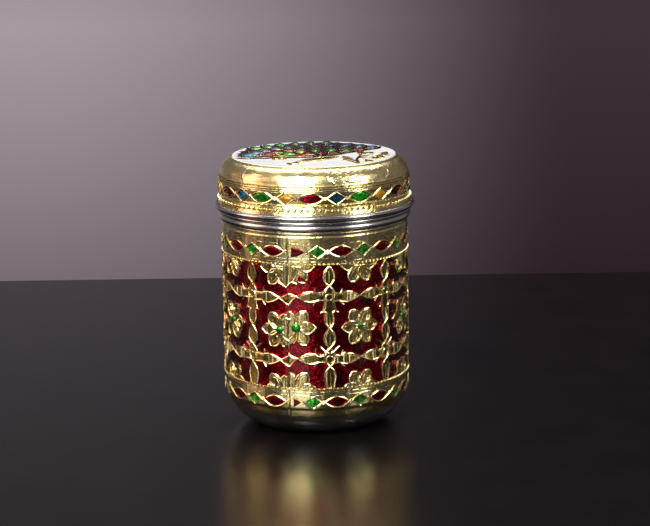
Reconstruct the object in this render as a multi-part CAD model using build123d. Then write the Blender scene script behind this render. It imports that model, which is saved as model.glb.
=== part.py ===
"""A round pressed-steel box with a push-on lid, dressed in embossed gold foil and lacquer colours.

Millimetres. +Z is up along the box's axis, the origin is the middle of the base, and the front faces -Y.
Angles round the box are counted from the front towards +X.
"""
from build123d import *
from math import cos, hypot, radians, sin
import os

os.makedirs("parts", exist_ok=True)

# Steel shells: one deep cup, with a lid that slides over its neck down to the collar
sheet = 0.5
jar_r = 32.6
base_corner_r = 14.0
jar_body_h = 73.8
collar_bead_h = 3.6
collar_bead_out = 1.7
collar_groove_out = 0.6
collar_fold_t = 0.9
collar_fold_out = 2.15
neck_h = 11.1
fit_gap = 0.3
seat_gap = 0.3
curl_r = 0.95
curl_open_deg = 112
lid_flare = 1.0
flare_h = 4.5
lid_h = 17.6
shoulder_r = 5.6

# Embossed foil on both shells, and the lacquer that fills its sunk cells
foil_t = 0.25
relief = 0.5
lacquer_t = 0.25
line_groove_w = 0.45
line_groove_depth = 0.3

# The sleeve round the jar: border rows of cells above and below a lattice of flowers
sleeve_tuck = 6.0
sleeve_top_gap = 0.4
relief_tuck = 1.8
lower_cells_rise = 0.1
lower_border_h = 5.5
upper_border_h = 11.1
upper_cells_drop = 6.1
lower_flower_sink = 1.0
line_gaps = (1.2, 2.6)
top_line_drop = 3.2
seam_panel_deg = 49.7
seam_deg = -16.5
panel_count = 8
border_cell_count = 23
upper_first_cell_deg = 1.7
lower_first_cell_deg = -2.1
upper_last_cell_deg = 333.8
lower_last_cell_deg = 333.7
upper_cut_cell_deg = -13.4
lower_cut_cell_deg = -16.7
lap_w = 2.6
lap_t = 0.15

# Motifs of the lattice
bar_w = 3.4
bar_neck_w = 1.0
leaf_w = 3.2
leaf_neck_w = 0.8
node_r = 1.9
petal_l = 7.0
petal_w = 4.3
petal_root = 0.5
petals = 6
flower_core_r = 1.6
flower_dot_r = 1.3
flower_dot_h = 0.8
flower_shift_deg = 5.2

# Cells: pointed ovals and diamonds
oval_l = 7.2
oval_w = 3.0
diamond_l = 5.0
diamond_w = 3.5

# The lid's border strip, with its row of cells and the roped line under them
lid_cells_drop = 3.6
lid_cell_count = 24
lid_first_cell_deg = -1.9
lid_band_h = 5.2
rope_rise = 3.7
rope_r = 0.45
strip_bottom_gap = 0.15

# The lid's white ground, and the peacock on it
ground_reach = 1.3
ground_t = 0.3
ground_rim_r = 0.35
wire_w = 0.5
wire_t = 0.4
plume_t = 0.15
enamel_sink = 0.08
picture_r = 29.1
tail_root = (3.5, -8.0)
tail_from_deg = 42
tail_to_deg = 185
tail_row_colours = ("red", "green", "red", "blue", "green")
tail_first_row_r = 8.5
tail_row_step = 6.0
tail_eye_step = 5.6
tail_clear = 0.4
eye_l = 5.0
eye_w = 2.6
eye_wire_w = 0.4
plume_l = 9.4
plume_w = 5.0
leaf_l = 6.2
leaf_open_w = 3.1
body_at = (1.8, -13.0)
body_deg = 36
body_l = 17.0
body_w = 5.4
head_r = 1.5
bud_at = (11.4, -9.8)
bud_deg = 115

# Places that follow from those sizes
collar_z = jar_body_h
fold_z = collar_z + collar_bead_h
collar_top_z = fold_z + collar_fold_t
mouth_z = collar_top_z + neck_h
lid_in_r = jar_r + fit_gap
lid_out_r = lid_in_r + sheet
rim_z = collar_top_z + seat_gap
curl_z = rim_z + curl_r
curl_mid_r = lid_in_r + lid_flare + curl_r
flare_top_z = curl_z + flare_h
lid_top_z = rim_z + lid_h
shoulder_z = lid_top_z - shoulder_r
lid_flat_r = lid_out_r - shoulder_r
lid_cells_z = shoulder_z - lid_cells_drop
rope_z = rim_z + rope_rise
foil_top_z = lid_top_z + foil_t
ground_top_z = foil_top_z + ground_t
ground_r = lid_flat_r + ground_reach
sleeve_top_z = jar_body_h - sleeve_top_gap
sleeve_bottom_z = base_corner_r - sleeve_tuck
relief_bottom_z = base_corner_r - relief_tuck
lower_cells_z = base_corner_r + lower_cells_rise
upper_cells_z = jar_body_h - upper_cells_drop
ground_bottom_z = base_corner_r + lower_border_h
window_top_z = jar_body_h - upper_border_h
flower_pitch_z = (window_top_z - ground_bottom_z + lower_flower_sink) / 2
flower_z = window_top_z - flower_pitch_z
line_heights = [ground_bottom_z - gap for gap in line_gaps] + [window_top_z + gap for gap in line_gaps]
line_heights += [jar_body_h - top_line_drop]
jar_foil_r = jar_r + foil_t
jar_relief_r = jar_foil_r + relief
lid_foil_r = lid_out_r + foil_t
lid_relief_r = lid_foil_r + relief
panel_deg = (360 - seam_panel_deg) / panel_count
first_bar_deg = seam_deg + seam_panel_deg / 2
beyond = 5.0


def turned(section):
    """A solid of revolution, from a half section with its radius along x and its height along y."""
    return revolve(Plane.XZ * section, axis=Axis.Z)


def ring(inner_r, outer_r, low_z, high_z):
    """A plain tube between two radii and two heights."""
    middle = (inner_r + outer_r) / 2
    return turned(Pos(middle, (low_z + high_z) / 2) * Rectangle(outer_r - inner_r, high_z - low_z))


def on_wall(shape, z, inner_r, outer_r):
    """A flat shape at the front of a round wall, cut to a skin between two radii."""
    size = shape.bounding_box().size
    skin = ring(inner_r, outer_r, z - size.Y - beyond, z + size.Y + beyond)
    start = inner_r - size.X / 2
    front = Plane(origin=(0, -start, z), x_dir=(1, 0, 0), z_dir=(0, -1, 0))
    return extrude(front * shape, amount=outer_r - start + beyond) & skin


def around(solid, angles):
    """Copies of a solid from the front of the wall, turned to each angle."""
    return [Rot(0, 0, angle) * solid for angle in angles]


def save(solids, node):
    """One piece, or one group of like pieces, as a named part."""
    group = Compound(children=solids) if isinstance(solids, list) else solids
    group.label = node
    export_step(group, f"parts/{node}.step")


def pointed_oval(length, width):
    """A marquise: two arcs that meet in points at both ends."""
    half = length / 2
    top = ThreePointArc((-half, 0), (0, width / 2), (half, 0))
    bottom = ThreePointArc((half, 0), (0, -width / 2), (-half, 0))
    return make_face([top, bottom])


def diamond(length, width):
    """A diamond with straight sides."""
    return Polygon((length / 2, 0), (0, width / 2), (-length / 2, 0), (0, -width / 2), align=None)


def flower(shift):
    """Six pointed petals round a core, moved sideways by shift."""
    petal = Pos(petal_root + petal_l / 2 - petal_root / 2, 0) * pointed_oval(petal_l - petal_root, petal_w)
    shape = Circle(flower_core_r)
    for n in range(petals):
        shape += Rot(0, 0, n * 360 / petals) * petal
    return Pos(shift, 0) * shape


def flat_x(angle, radius):
    """Where an angle on the round wall falls on a flat sheet that touches the wall at the front."""
    return radius * sin(radians(angle))


def open_panel(width_deg, low_row, high_row):
    """The ground between two bars, from low_row to high_row, counted in flower rows from the middle one."""
    half = flat_x(width_deg / 2, jar_relief_r)
    low = low_row * flower_pitch_z
    high = high_row * flower_pitch_z
    panel = Pos(0, (low + high) / 2) * Rectangle(2 * half, high - low)
    lens_l = flower_pitch_z / 2
    lens = Rot(0, 0, 90) * pointed_oval(lens_l, bar_w)
    leaf = pointed_oval(half, leaf_w)
    for side in (-half, half):
        panel -= Pos(side, (low + high) / 2) * Rectangle(bar_neck_w, high - low + beyond)
        for step in range(round(2 * low_row), round(2 * high_row)):
            panel -= Pos(side, (step + 0.5) * lens_l) * lens
    for bar_row in (-0.5, 0.5):
        bar_y = bar_row * flower_pitch_z
        if low <= bar_y <= high:
            panel -= Pos(0, bar_y) * Rectangle(2 * half, leaf_neck_w)
            for side in (-half, half):
                panel -= Pos(side, bar_y) * Circle(node_r)
                panel -= Pos(side / 2, bar_y) * leaf
    return panel


def lattice_ground(width_deg, shifts):
    """Three sunk grounds of one panel, one above another, with the flowers standing in them."""
    bottom = ground_bottom_z - flower_z
    whole = open_panel(width_deg, -1, 1)
    tall = 2 * flower_pitch_z
    whole &= Pos(0, bottom + tall / 2) * Rectangle(tall, tall)
    for row in (-1, 0, 1):
        for shift in shifts:
            whole -= Pos(0, row * flower_pitch_z) * flower(shift)
    return whole


# The jar's steel cup: drawn from one sheet, with a bead and a folded stop swaged under the neck
bead_mid_z = collar_z + collar_bead_h / 2
bead_inner_h = collar_bead_h - 2 * sheet
cup_corner = (jar_r - base_corner_r, base_corner_r)
fold_mid_r = jar_r + collar_fold_out - collar_fold_t / 2
cup_section = make_face(
    [
        Line((0, 0), (cup_corner[0], 0)),
        CenterArc(cup_corner, base_corner_r, 270, 90),
        Line((jar_r, base_corner_r), (jar_r, collar_z)),
        ThreePointArc(
            (jar_r, collar_z), (jar_r + collar_bead_out, bead_mid_z), (jar_r + collar_groove_out, fold_z)
        ),
        Line((jar_r + collar_groove_out, fold_z), (fold_mid_r, fold_z)),
        CenterArc((fold_mid_r, fold_z + collar_fold_t / 2), collar_fold_t / 2, -90, 180),
        Line((fold_mid_r, collar_top_z), (jar_r, collar_top_z)),
        Line((jar_r, collar_top_z), (jar_r, mouth_z - sheet / 2)),
        CenterArc((jar_r - sheet / 2, mouth_z - sheet / 2), sheet / 2, 0, 180),
        Line((jar_r - sheet, mouth_z - sheet / 2), (jar_r - sheet, bead_mid_z + bead_inner_h / 2)),
        ThreePointArc(
            (jar_r - sheet, bead_mid_z + bead_inner_h / 2),
            (jar_r + collar_bead_out - sheet, bead_mid_z),
            (jar_r - sheet, bead_mid_z - bead_inner_h / 2),
        ),
        Line((jar_r - sheet, bead_mid_z - bead_inner_h / 2), (jar_r - sheet, base_corner_r)),
        CenterArc(cup_corner, base_corner_r - sheet, 270, 90),
        Line((cup_corner[0], sheet), (0, sheet)),
        Line((0, sheet), (0, 0)),
    ]
)
save(turned(cup_section), "jar_cup")

# The foil sleeve: a thin sheet tucked round the base corner, with its pattern standing out above
tuck_section = make_face(
    [
        CenterArc(cup_corner, base_corner_r, 270, 90),
        Line((jar_r, base_corner_r), (jar_foil_r, base_corner_r)),
        CenterArc(cup_corner, base_corner_r + foil_t, 270, 90),
        Line((cup_corner[0], 0), (cup_corner[0], -foil_t)),
    ]
)
tuck_section -= Pos(0, sleeve_bottom_z / 2 - beyond) * Rectangle(4 * jar_r, sleeve_bottom_z + 2 * beyond)
relief_h = sleeve_top_z - relief_bottom_z
sleeve_section = Pos((jar_r + jar_relief_r) / 2, relief_bottom_z + relief_h / 2) * Rectangle(
    foil_t + relief, relief_h
)
sleeve_section += tuck_section
cup_corner_fill = Pos(*cup_corner) * Circle(base_corner_r)
sleeve_section -= cup_corner_fill
for height in line_heights:
    sleeve_section -= Pos(jar_relief_r, height) * Rectangle(2 * line_groove_depth, line_groove_w)
lap = ring(jar_relief_r, jar_relief_r + lap_t, relief_bottom_z, sleeve_top_z)
lap &= extrude(
    Plane(origin=(0, 0, relief_bottom_z), z_dir=(0, 0, 1))
    * Rot(0, 0, seam_deg)
    * Pos(0, -jar_r)
    * Rectangle(lap_w, jar_r / 2),
    amount=relief_h,
)

panel_angles = [first_bar_deg + (n + 0.5) * panel_deg for n in range(panel_count)]
seam_shift = flat_x(flower_shift_deg, jar_relief_r)
plain_panel = lattice_ground(panel_deg, (0,))
seam_panel = lattice_ground(seam_panel_deg, (-seam_shift, seam_shift))
dot = Circle(flower_dot_r)
dot_angles = panel_angles + [seam_deg - flower_shift_deg, seam_deg + flower_shift_deg]


def row_angles(first, last):
    """Angles of a border row that starts right of the seam and ends left of it."""
    step = (last - first) / border_cell_count
    return [first + n * step for n in range(border_cell_count + 1)]


upper_angles = row_angles(upper_first_cell_deg, upper_last_cell_deg)
lower_angles = row_angles(lower_first_cell_deg, lower_last_cell_deg)
seam_side = Rot(0, 0, seam_deg) * Pos((lap_w - jar_r) / 2, -jar_r, jar_body_h / 2) * Box(jar_r, jar_r, jar_body_h)
cut_places = ((upper_cut_cell_deg, upper_cells_z), (lower_cut_cell_deg, lower_cells_z))
green_places = [(upper_angles[::2], upper_cells_z), (lower_angles[::2], lower_cells_z)]
red_places = [(upper_angles[1::2], upper_cells_z), (lower_angles[1::2], lower_cells_z)]


def sunk(outer_r):
    """Everything that fills the sleeve's sunk places, from the sheet out to outer_r: ground, cells and dots."""
    ground = around(on_wall(plain_panel, flower_z, jar_foil_r, outer_r), panel_angles)
    ground += around(on_wall(seam_panel, flower_z, jar_foil_r, outer_r), [seam_deg])
    green = []
    red = []
    for angles, z in green_places:
        green += around(on_wall(diamond(diamond_l, diamond_w), z, jar_foil_r, outer_r), angles)
    for angles, z in red_places:
        red += around(on_wall(pointed_oval(oval_l, oval_w), z, jar_foil_r, outer_r), angles)
    for angle, z in cut_places:
        red.append(Rot(0, 0, angle) * on_wall(pointed_oval(oval_l, oval_w), z, jar_foil_r, outer_r) - seam_side)
    dots = around(on_wall(dot, flower_z, jar_foil_r, outer_r + flower_dot_h - lacquer_t), dot_angles)
    return ground, green, red, dots


cuts = sunk(jar_relief_r + beyond)
jar_foil = turned(sleeve_section) + lap
jar_foil -= [solid for group in cuts for solid in group]
save(jar_foil, "jar_foil")
fills = sunk(jar_foil_r + lacquer_t)
for solids, node in zip(fills, ("jar_red_ground", "jar_green_cells", "jar_red_cells", "jar_flower_dots")):
    save(solids, node)

# The lid's steel cap: a shallow drawn cup whose skirt flares into a rolled rim
cap_section = make_face(
    [
        Line((0, lid_top_z), (lid_flat_r, lid_top_z)),
        CenterArc((lid_flat_r, shoulder_z), shoulder_r, 0, 90),
        Line((lid_out_r, shoulder_z), (lid_out_r, flare_top_z)),
        Spline((lid_out_r, flare_top_z), (lid_out_r + lid_flare, curl_z), tangents=[(0, -1), (0, -1)]),
        Line((lid_out_r + lid_flare, curl_z), (lid_in_r + lid_flare, curl_z)),
        Spline((lid_in_r, flare_top_z), (lid_in_r + lid_flare, curl_z), tangents=[(0, -1), (0, -1)]),
        Line((lid_in_r, flare_top_z), (lid_in_r, shoulder_z)),
        CenterArc((lid_flat_r, shoulder_z), shoulder_r - sheet, 0, 90),
        Line((lid_flat_r, lid_top_z - sheet), (0, lid_top_z - sheet)),
        Line((0, lid_top_z - sheet), (0, lid_top_z)),
    ]
)
curl_end = (2 * curl_r * cos(radians(curl_open_deg)), 2 * curl_r * sin(radians(curl_open_deg)))
curl_mouth = Polygon((0, 0), curl_end, (-2 * curl_r, 2 * curl_r), (-2 * curl_r, 0), align=None)
curl_section = Circle(curl_r) - Circle(curl_r - sheet) - curl_mouth
cap_section += Pos(curl_mid_r, curl_z) * curl_section
save(turned(cap_section), "lid_cap")

# The lid's top foil, worked down over the shoulder, with a raised rim round the white ground
top_section = make_face(
    [
        Line((0, foil_top_z), (lid_flat_r, foil_top_z)),
        CenterArc((lid_flat_r, shoulder_z), shoulder_r + foil_t, 0, 90),
        Line((lid_foil_r, shoulder_z), (lid_out_r, shoulder_z)),
        CenterArc((lid_flat_r, shoulder_z), shoulder_r, 0, 90),
        Line((lid_flat_r, lid_top_z), (0, lid_top_z)),
        Line((0, lid_top_z), (0, foil_top_z)),
    ]
)
rim_ring = Pos(ground_r + ground_rim_r, foil_top_z) * Circle(ground_rim_r)
cap_outline = Pos(lid_flat_r / 2, (lid_top_z + rim_z) / 2) * Rectangle(lid_flat_r, lid_top_z - rim_z)
cap_outline += Pos(lid_flat_r, shoulder_z) * Circle(shoulder_r)
top_section += rim_ring - cap_outline
save(turned(top_section), "lid_top_foil")

white_section = Pos(ground_r / 2, ground_top_z - beyond / 2) * Rectangle(ground_r, beyond)
white_section -= Pos(lid_flat_r / 2, (foil_top_z + rim_z) / 2) * Rectangle(lid_flat_r, foil_top_z - rim_z)
white_section -= Pos(lid_flat_r, shoulder_z) * Circle(shoulder_r + foil_t)
white_section -= rim_ring
save(turned(white_section), "lid_white_ground")

# The lid's border strip, pressed over the flare down to the rolled rim
strip_bottom_z = curl_z + curl_r + strip_bottom_gap
strip_section = make_face(
    [
        Line((lid_out_r, shoulder_z), (lid_out_r, flare_top_z)),
        Spline((lid_out_r, flare_top_z), (lid_out_r + lid_flare, curl_z), tangents=[(0, -1), (0, -1)]),
        Line((lid_out_r + lid_flare, curl_z), (lid_foil_r + lid_flare, curl_z)),
        Spline((lid_foil_r, flare_top_z), (lid_foil_r + lid_flare, curl_z), tangents=[(0, -1), (0, -1)]),
        Line((lid_foil_r, flare_top_z), (lid_foil_r, shoulder_z)),
        Line((lid_foil_r, shoulder_z), (lid_out_r, shoulder_z)),
    ]
)
strip_section -= Pos(lid_out_r, strip_bottom_z - beyond) * Rectangle(2 * beyond, 2 * beyond)
strip_section += Pos((lid_out_r + lid_relief_r) / 2, lid_cells_z) * Rectangle(foil_t + relief, lid_band_h)
rope_step = (flare_top_z - rope_z) / flare_h
rope_flare = lid_flare * rope_step**2 * (3 - 2 * rope_step)
strip_section += Pos(lid_foil_r + rope_flare, rope_z) * Circle(rope_r)
strip_section -= cap_section


def lid_cells(outer_r):
    """The lid's cells from the foil out to outer_r: ovals and diamonds turn about, in four colours."""
    oval = on_wall(pointed_oval(oval_l, oval_w), lid_cells_z, lid_foil_r, outer_r)
    gem = on_wall(diamond(diamond_l, diamond_w), lid_cells_z, lid_foil_r, outer_r)
    shapes = {"lid_red_cells": oval, "lid_blue_cells": gem, "lid_green_cells": oval, "lid_yellow_cells": gem}
    step = 360 / lid_cell_count
    cells = {}
    for place, (node, shape) in enumerate(shapes.items()):
        turns = range(place, lid_cell_count, len(shapes))
        cells[node] = around(shape, [lid_first_cell_deg + n * step for n in turns])
    return cells


strip_cuts = [solid for group in lid_cells(lid_relief_r + beyond).values() for solid in group]
save(turned(strip_section) - strip_cuts, "lid_border_foil")
for node, solids in lid_cells(lid_foil_r + lacquer_t).items():
    save(solids, node)


def fitted(*points):
    """Points of the picture, drawn for a ground of radius picture_r, spread to fit the real ground."""
    return [(x * ground_r / picture_r, y * ground_r / picture_r) for x, y in points]


tail_at = fitted(tail_root)[0]


def row_radius(row):
    """Radius of one row of feather eyes about the tail's root."""
    return (tail_first_row_r + row * tail_row_step) * ground_r / picture_r


def tail_places():
    """Place and row of each feather eye that lies wholly on the white ground."""
    for row in range(len(tail_row_colours)):
        radius = row_radius(row)
        count = round(radians(tail_to_deg - tail_from_deg) * radius / tail_eye_step)
        for n in range(count):
            turn = tail_from_deg + (n + 0.5) * (tail_to_deg - tail_from_deg) / count
            x = tail_at[0] + radius * cos(radians(turn))
            y = tail_at[1] + radius * sin(radians(turn))
            if hypot(x, y) < ground_r - tail_clear - eye_l / 2 - eye_wire_w:
                yield Pos(x, y) * Rot(0, 0, turn), row


def half_plane(turn):
    """The side of the white ground that lies from an angle to half a turn past it."""
    return Rot(0, 0, turn) * Pos(0, ground_r) * Rectangle(4 * ground_r, 2 * ground_r)


def drawn(points):
    """A raised wire along a smooth line through some points of the white ground."""
    return trace(Spline(*fitted(*points)), wire_w)


# The peacock: a dark fan of lacquer, with wired feather eyes on it, and wires on the white ground beside it
body = Pos(*fitted(body_at)[0]) * Rot(0, 0, body_deg) * pointed_oval(body_l, body_w)
plumes = Pos(*tail_at) * (half_plane(tail_from_deg) & half_plane(tail_to_deg - 180))
plumes &= Pos(*tail_at) * Circle(row_radius(len(tail_row_colours) - 2))
eyes = {"red": Sketch(), "blue": Sketch(), "green": Sketch()}
tail_wires = Sketch()
for place, row in tail_places():
    eyes[tail_row_colours[row]] += place * pointed_oval(eye_l, eye_w)
    tail_wires += place * pointed_oval(eye_l + 2 * eye_wire_w, eye_w + 2 * eye_wire_w)
    plumes += place * pointed_oval(plume_l, plume_w)
for shape in eyes.values():
    tail_wires -= shape
plumes &= Circle(ground_r - tail_clear)
plumes -= body
wires = body
neck = [(-0.5, -13.5), (-3.5, -16.0), (-5.5, -19.0), (-6.5, -22.0)]
branch = [(16.0, -22.5), (15.6, -15.0), (16.6, -8.5), (20.5, -4.5), (24.5, -5.5)]
twigs = [
    [(15.8, -19.0), (13.2, -14.5), (12.4, -12.0)],
    [(16.2, -10.5), (19.5, -10.0), (22.0, -12.0)],
    [(15.7, -15.0), (18.0, -15.5), (19.5, -18.0)],
]
crest = [[(-6.5, -22.0), (-9.0, -20.5)], [(-6.5, -22.0), (-9.3, -22.3)], [(-6.5, -22.0), (-8.6, -24.0)]]
for points in [neck, branch] + twigs + crest:
    wires += drawn(points)
wires += Pos(*fitted(neck[-1])[0]) * Circle(head_r)
leaf_outline = pointed_oval(leaf_l, leaf_open_w)
leaf_opening = pointed_oval(leaf_l - 2 * wire_w, leaf_open_w - 2 * wire_w)
for leaf_at, leaf_deg in (((22.0, -12.0), 300), ((19.5, -18.0), 300), ((24.5, -5.5), 340)):
    wires += Pos(*fitted(leaf_at)[0]) * Rot(0, 0, leaf_deg) * (leaf_outline - leaf_opening)
bud_place = Pos(*fitted(bud_at)[0]) * Rot(0, 0, bud_deg)
bud = bud_place * leaf_opening
wires += bud_place * leaf_outline
wires -= bud
on_ground = Pos(0, 0, ground_top_z)
on_plumes = Pos(0, 0, ground_top_z + plume_t)
save(on_ground * extrude(plumes, amount=plume_t), "peacock_plumes")
gold = (on_ground * extrude(wires, amount=wire_t)).solids()
gold += (on_plumes * extrude(tail_wires, amount=wire_t - plume_t)).solids()
save(list(gold), "peacock_wires")
for colour, shape in eyes.items():
    solids = (on_plumes * extrude(shape, amount=wire_t - plume_t - enamel_sink)).solids()
    if colour == "red":
        solids += (on_ground * extrude(bud, amount=lacquer_t)).solids()
    save(list(solids), f"peacock_{colour}_eyes")
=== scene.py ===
"""A round steel box with a push-on lid, dressed in embossed gold foil, coloured lacquer and a peacock.

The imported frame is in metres: the origin is the middle of the base, +Z is up and the front faces -Y.
A drawing for a round wall is made flat first: x runs round the wall, z is up it, and -y stands out of it.
"""
import math
import random

import bpy
import numpy as np
from mathutils import Matrix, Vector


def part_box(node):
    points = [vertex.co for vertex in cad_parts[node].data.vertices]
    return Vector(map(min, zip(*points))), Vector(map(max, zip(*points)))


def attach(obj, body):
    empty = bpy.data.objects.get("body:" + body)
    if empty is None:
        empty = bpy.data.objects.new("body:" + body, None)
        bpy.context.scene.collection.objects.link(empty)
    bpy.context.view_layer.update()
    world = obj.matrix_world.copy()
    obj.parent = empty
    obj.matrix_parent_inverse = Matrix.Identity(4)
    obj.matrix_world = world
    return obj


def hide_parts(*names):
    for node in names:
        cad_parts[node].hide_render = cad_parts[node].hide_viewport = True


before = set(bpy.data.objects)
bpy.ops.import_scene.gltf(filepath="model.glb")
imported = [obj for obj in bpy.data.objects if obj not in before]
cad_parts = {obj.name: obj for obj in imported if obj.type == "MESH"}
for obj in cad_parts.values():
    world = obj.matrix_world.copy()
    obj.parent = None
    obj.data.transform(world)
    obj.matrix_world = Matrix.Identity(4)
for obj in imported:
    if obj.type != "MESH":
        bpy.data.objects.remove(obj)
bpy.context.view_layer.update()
scene = bpy.context.scene
scene.view_settings.view_transform = "Standard"
MM = 0.001

# The photograph's place: the box stands about three quarters of a metre from the lens, seen a little
# from above, on a dark table whose far edge crosses the picture behind it.
photo_width = 650
lens_pixels = 2127.0
camera_at = (3.52 * MM, -750 * MM, 214.6 * MM)
camera_down = 11.87
camera_roll = 0.82

camera_data = bpy.data.cameras.new("camera")
camera_data.sensor_fit = "HORIZONTAL"
camera_data.sensor_width = 36.0
camera_data.lens = camera_data.sensor_width * lens_pixels / photo_width
camera = bpy.data.objects.new("camera", camera_data)
scene.collection.objects.link(camera)
scene.camera = camera
camera.matrix_world = (
    Matrix.Translation(camera_at)
    @ Matrix.Rotation(math.radians(90 - camera_down), 4, "X")
    @ Matrix.Rotation(math.radians(-camera_roll), 4, "Z")
)


def new_material(name, **sockets):
    """A node material with one main shader; sockets are its constant values."""
    material = bpy.data.materials.new(name)
    material.use_nodes = True
    shader = material.node_tree.nodes["Principled BSDF"]
    for label, value in sockets.items():
        shader.inputs[label.replace("_", " ")].default_value = value
    return material, material.node_tree, shader


def add(tree, kind, inputs=None, **options):
    """Adds a node to a tree, sets its options, and fills or joins its inputs. Gives back its outputs."""
    made = tree.nodes.new(kind)
    for option, value in options.items():
        setattr(made, option, value)
    for socket, value in (inputs or {}).items():
        if isinstance(value, bpy.types.NodeSocket):
            tree.links.new(value, made.inputs[socket])
        else:
            made.inputs[socket].default_value = value
    return made.outputs


def object_place(tree):
    """The point on the object, in the row frame."""
    return add(tree, "ShaderNodeTexCoord")["Object"]


def ramp(tree, value, stops):
    """A colour ramp through (place, colour) stops."""
    made = tree.nodes.new("ShaderNodeValToRGB")
    tree.links.new(value, made.inputs[0])
    points = made.color_ramp.elements
    while len(points) < len(stops):
        points.new(0.5)
    for point, (place, colour) in zip(points, stops):
        point.position = place
        point.color = (*colour, 1.0) if isinstance(colour, tuple) else (colour, colour, colour, 1.0)
    return made.outputs["Color"]


def noise(tree, scale, detail, place=None):
    """Cloudy noise, from 0 to 1, at a given place, or else at the point on the object."""
    inputs = {"Vector": place or object_place(tree), "Scale": scale, "Detail": detail}
    return add(tree, "ShaderNodeTexNoise", inputs)["Fac"]


def mixed(tree, share, first, second, blend="MIX"):
    """A share of a second colour over a first one."""
    inputs = {0: share, 6: first, 7: second}
    return add(tree, "ShaderNodeMix", inputs, data_type="RGBA", blend_type=blend)[2]


def bumped(tree, shader, height, distance, strength=1.0):
    """Raises the surface by a height pattern, distance metres deep."""
    bump = add(tree, "ShaderNodeBump", {"Height": height, "Distance": distance, "Strength": strength})
    tree.links.new(bump["Normal"], shader.inputs["Normal"])


# Table, backdrop and lamps: a dark satin table in front of a mauve wall that glows with painted light, darker
# to the right, brightest at the table's height and dim far off. Two soft lamps stand in front on the left,
# one on the right, a warm one far left and a wide one overhead.
def panel(name, corners, material):
    """A flat part of the set, from its four corners in metres."""
    mesh = bpy.data.meshes.new(name)
    mesh.from_pydata(corners, [], [(0, 1, 2, 3)])
    mesh.materials.append(material)
    made = bpy.data.objects.new(name, mesh)
    scene.collection.objects.link(made)


def eased(tree, value, low, high, kind="SMOOTHSTEP"):
    """How far a value has come from low to high, from 0 to 1."""
    ends = {"Value": value, "From Min": low, "From Max": high}
    return add(tree, "ShaderNodeMapRange", ends, interpolation_type=kind)["Result"]


table_reach = 3.0
table_edge = 0.24
table_material, tree, shader = new_material("dark_table", Roughness=0.23, Specular_IOR_Level=0.4)
grain = [(0.3, (0.003, 0.0022, 0.0024)), (0.7, (0.005, 0.0037, 0.004))]
tree.links.new(ramp(tree, noise(tree, 40.0, 4.0), grain), shader.inputs["Base Color"])
table_front = [(-table_reach, -table_reach, 0), (table_reach, -table_reach, 0)]
table_back = [(table_reach, table_edge, 0), (-table_reach, table_edge, 0)]
panel("table", table_front + table_back, table_material)

wall_y = 1.5
wall_low_z = -1.0
wall_high_z = 1.6
wall_look = {"Roughness": 1.0, "Specular_IOR_Level": 0.0, "Emission_Strength": 1.0}
# The wall is no lamp, yet it glows: its emission is painted light and painted shade, darker to the right,
# brightest at the table's height, fading up and down, and dim far off.
wall_material, tree, shader = new_material("mauve_wall", **wall_look)
shader.inputs["Base Color"].default_value = (0.0, 0.0, 0.0, 1.0)
wall_place = object_place(tree)
split = add(tree, "ShaderNodeSeparateXYZ", {"Vector": wall_place})
painted_wall_shades = [(0.0, (0.38, 0.325, 0.36)), (0.5, (0.24, 0.197, 0.226)), (1.0, (0.05, 0.032, 0.043))]
painted_fall_stops = [(0.0, 0.42), (0.3, 1.0), (0.5, 0.6), (1.0, 0.12)]
painted_side_shade = ramp(tree, eased(tree, split["X"], -0.32, 0.28), painted_wall_shades)
painted_light_fall = ramp(tree, eased(tree, split["Z"], -0.3, 0.7, "LINEAR"), painted_fall_stops)
away = add(tree, "ShaderNodeVectorMath", {0: wall_place}, operation="LENGTH")["Value"]
dim_room = (0.156, 0.14, 0.148, 1.0)
painted_wall_glow = mixed(tree, 1.0, painted_side_shade, painted_light_fall, "MULTIPLY")
painted_wall_glow = mixed(tree, eased(tree, away, 1.65, 2.15), painted_wall_glow, dim_room)
tree.links.new(painted_wall_glow, shader.inputs["Emission Color"])
wall_low = [(-table_reach, wall_y, wall_low_z), (table_reach, wall_y, wall_low_z)]
wall_high = [(table_reach, wall_y, wall_high_z), (-table_reach, wall_y, wall_high_z)]
panel("wall", wall_low + wall_high, wall_material)

world = bpy.data.worlds.new("studio")
scene.world = world
world.use_nodes = True
world.node_tree.nodes["Background"].inputs["Color"].default_value = dim_room
world.node_tree.nodes["Background"].inputs["Strength"].default_value = 1.0


def lamp(name, place, aim, width, height, power, colour):
    """A soft rectangular lamp that points from place at aim, all in metres."""
    data = bpy.data.lights.new(name, "AREA")
    data.shape = "RECTANGLE"
    data.size = width
    data.size_y = height
    data.energy = power
    data.color = colour
    made = bpy.data.objects.new(name, data)
    scene.collection.objects.link(made)
    toward = Matrix.Translation(aim).translation - Matrix.Translation(place).translation
    made.matrix_world = Matrix.Translation(place) @ toward.to_track_quat("-Z", "Y").to_matrix().to_4x4()


box_middle = (0, 0, 0.05)
lamp("key_lamp", (-0.30, -0.75, 0.75), box_middle, 0.5, 0.4, 10.5, (1.0, 0.97, 0.92))
lamp("front_lamp", (-0.42, -1.0, 0.34), box_middle, 0.6, 0.3, 6.0, (1.0, 0.99, 0.95))
lamp("side_lamp", (0.85, -0.55, 0.6), box_middle, 0.3, 0.5, 6.0, (1.0, 0.97, 0.9))
lamp("left_lamp", (-0.85, -0.1, 0.4), box_middle, 0.4, 0.6, 2.4, (1.0, 0.66, 0.52))
lamp("top_lamp", (0.0, 0.35, 0.85), box_middle, 0.9, 0.6, 6.5, (0.96, 0.98, 1.0))


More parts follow.
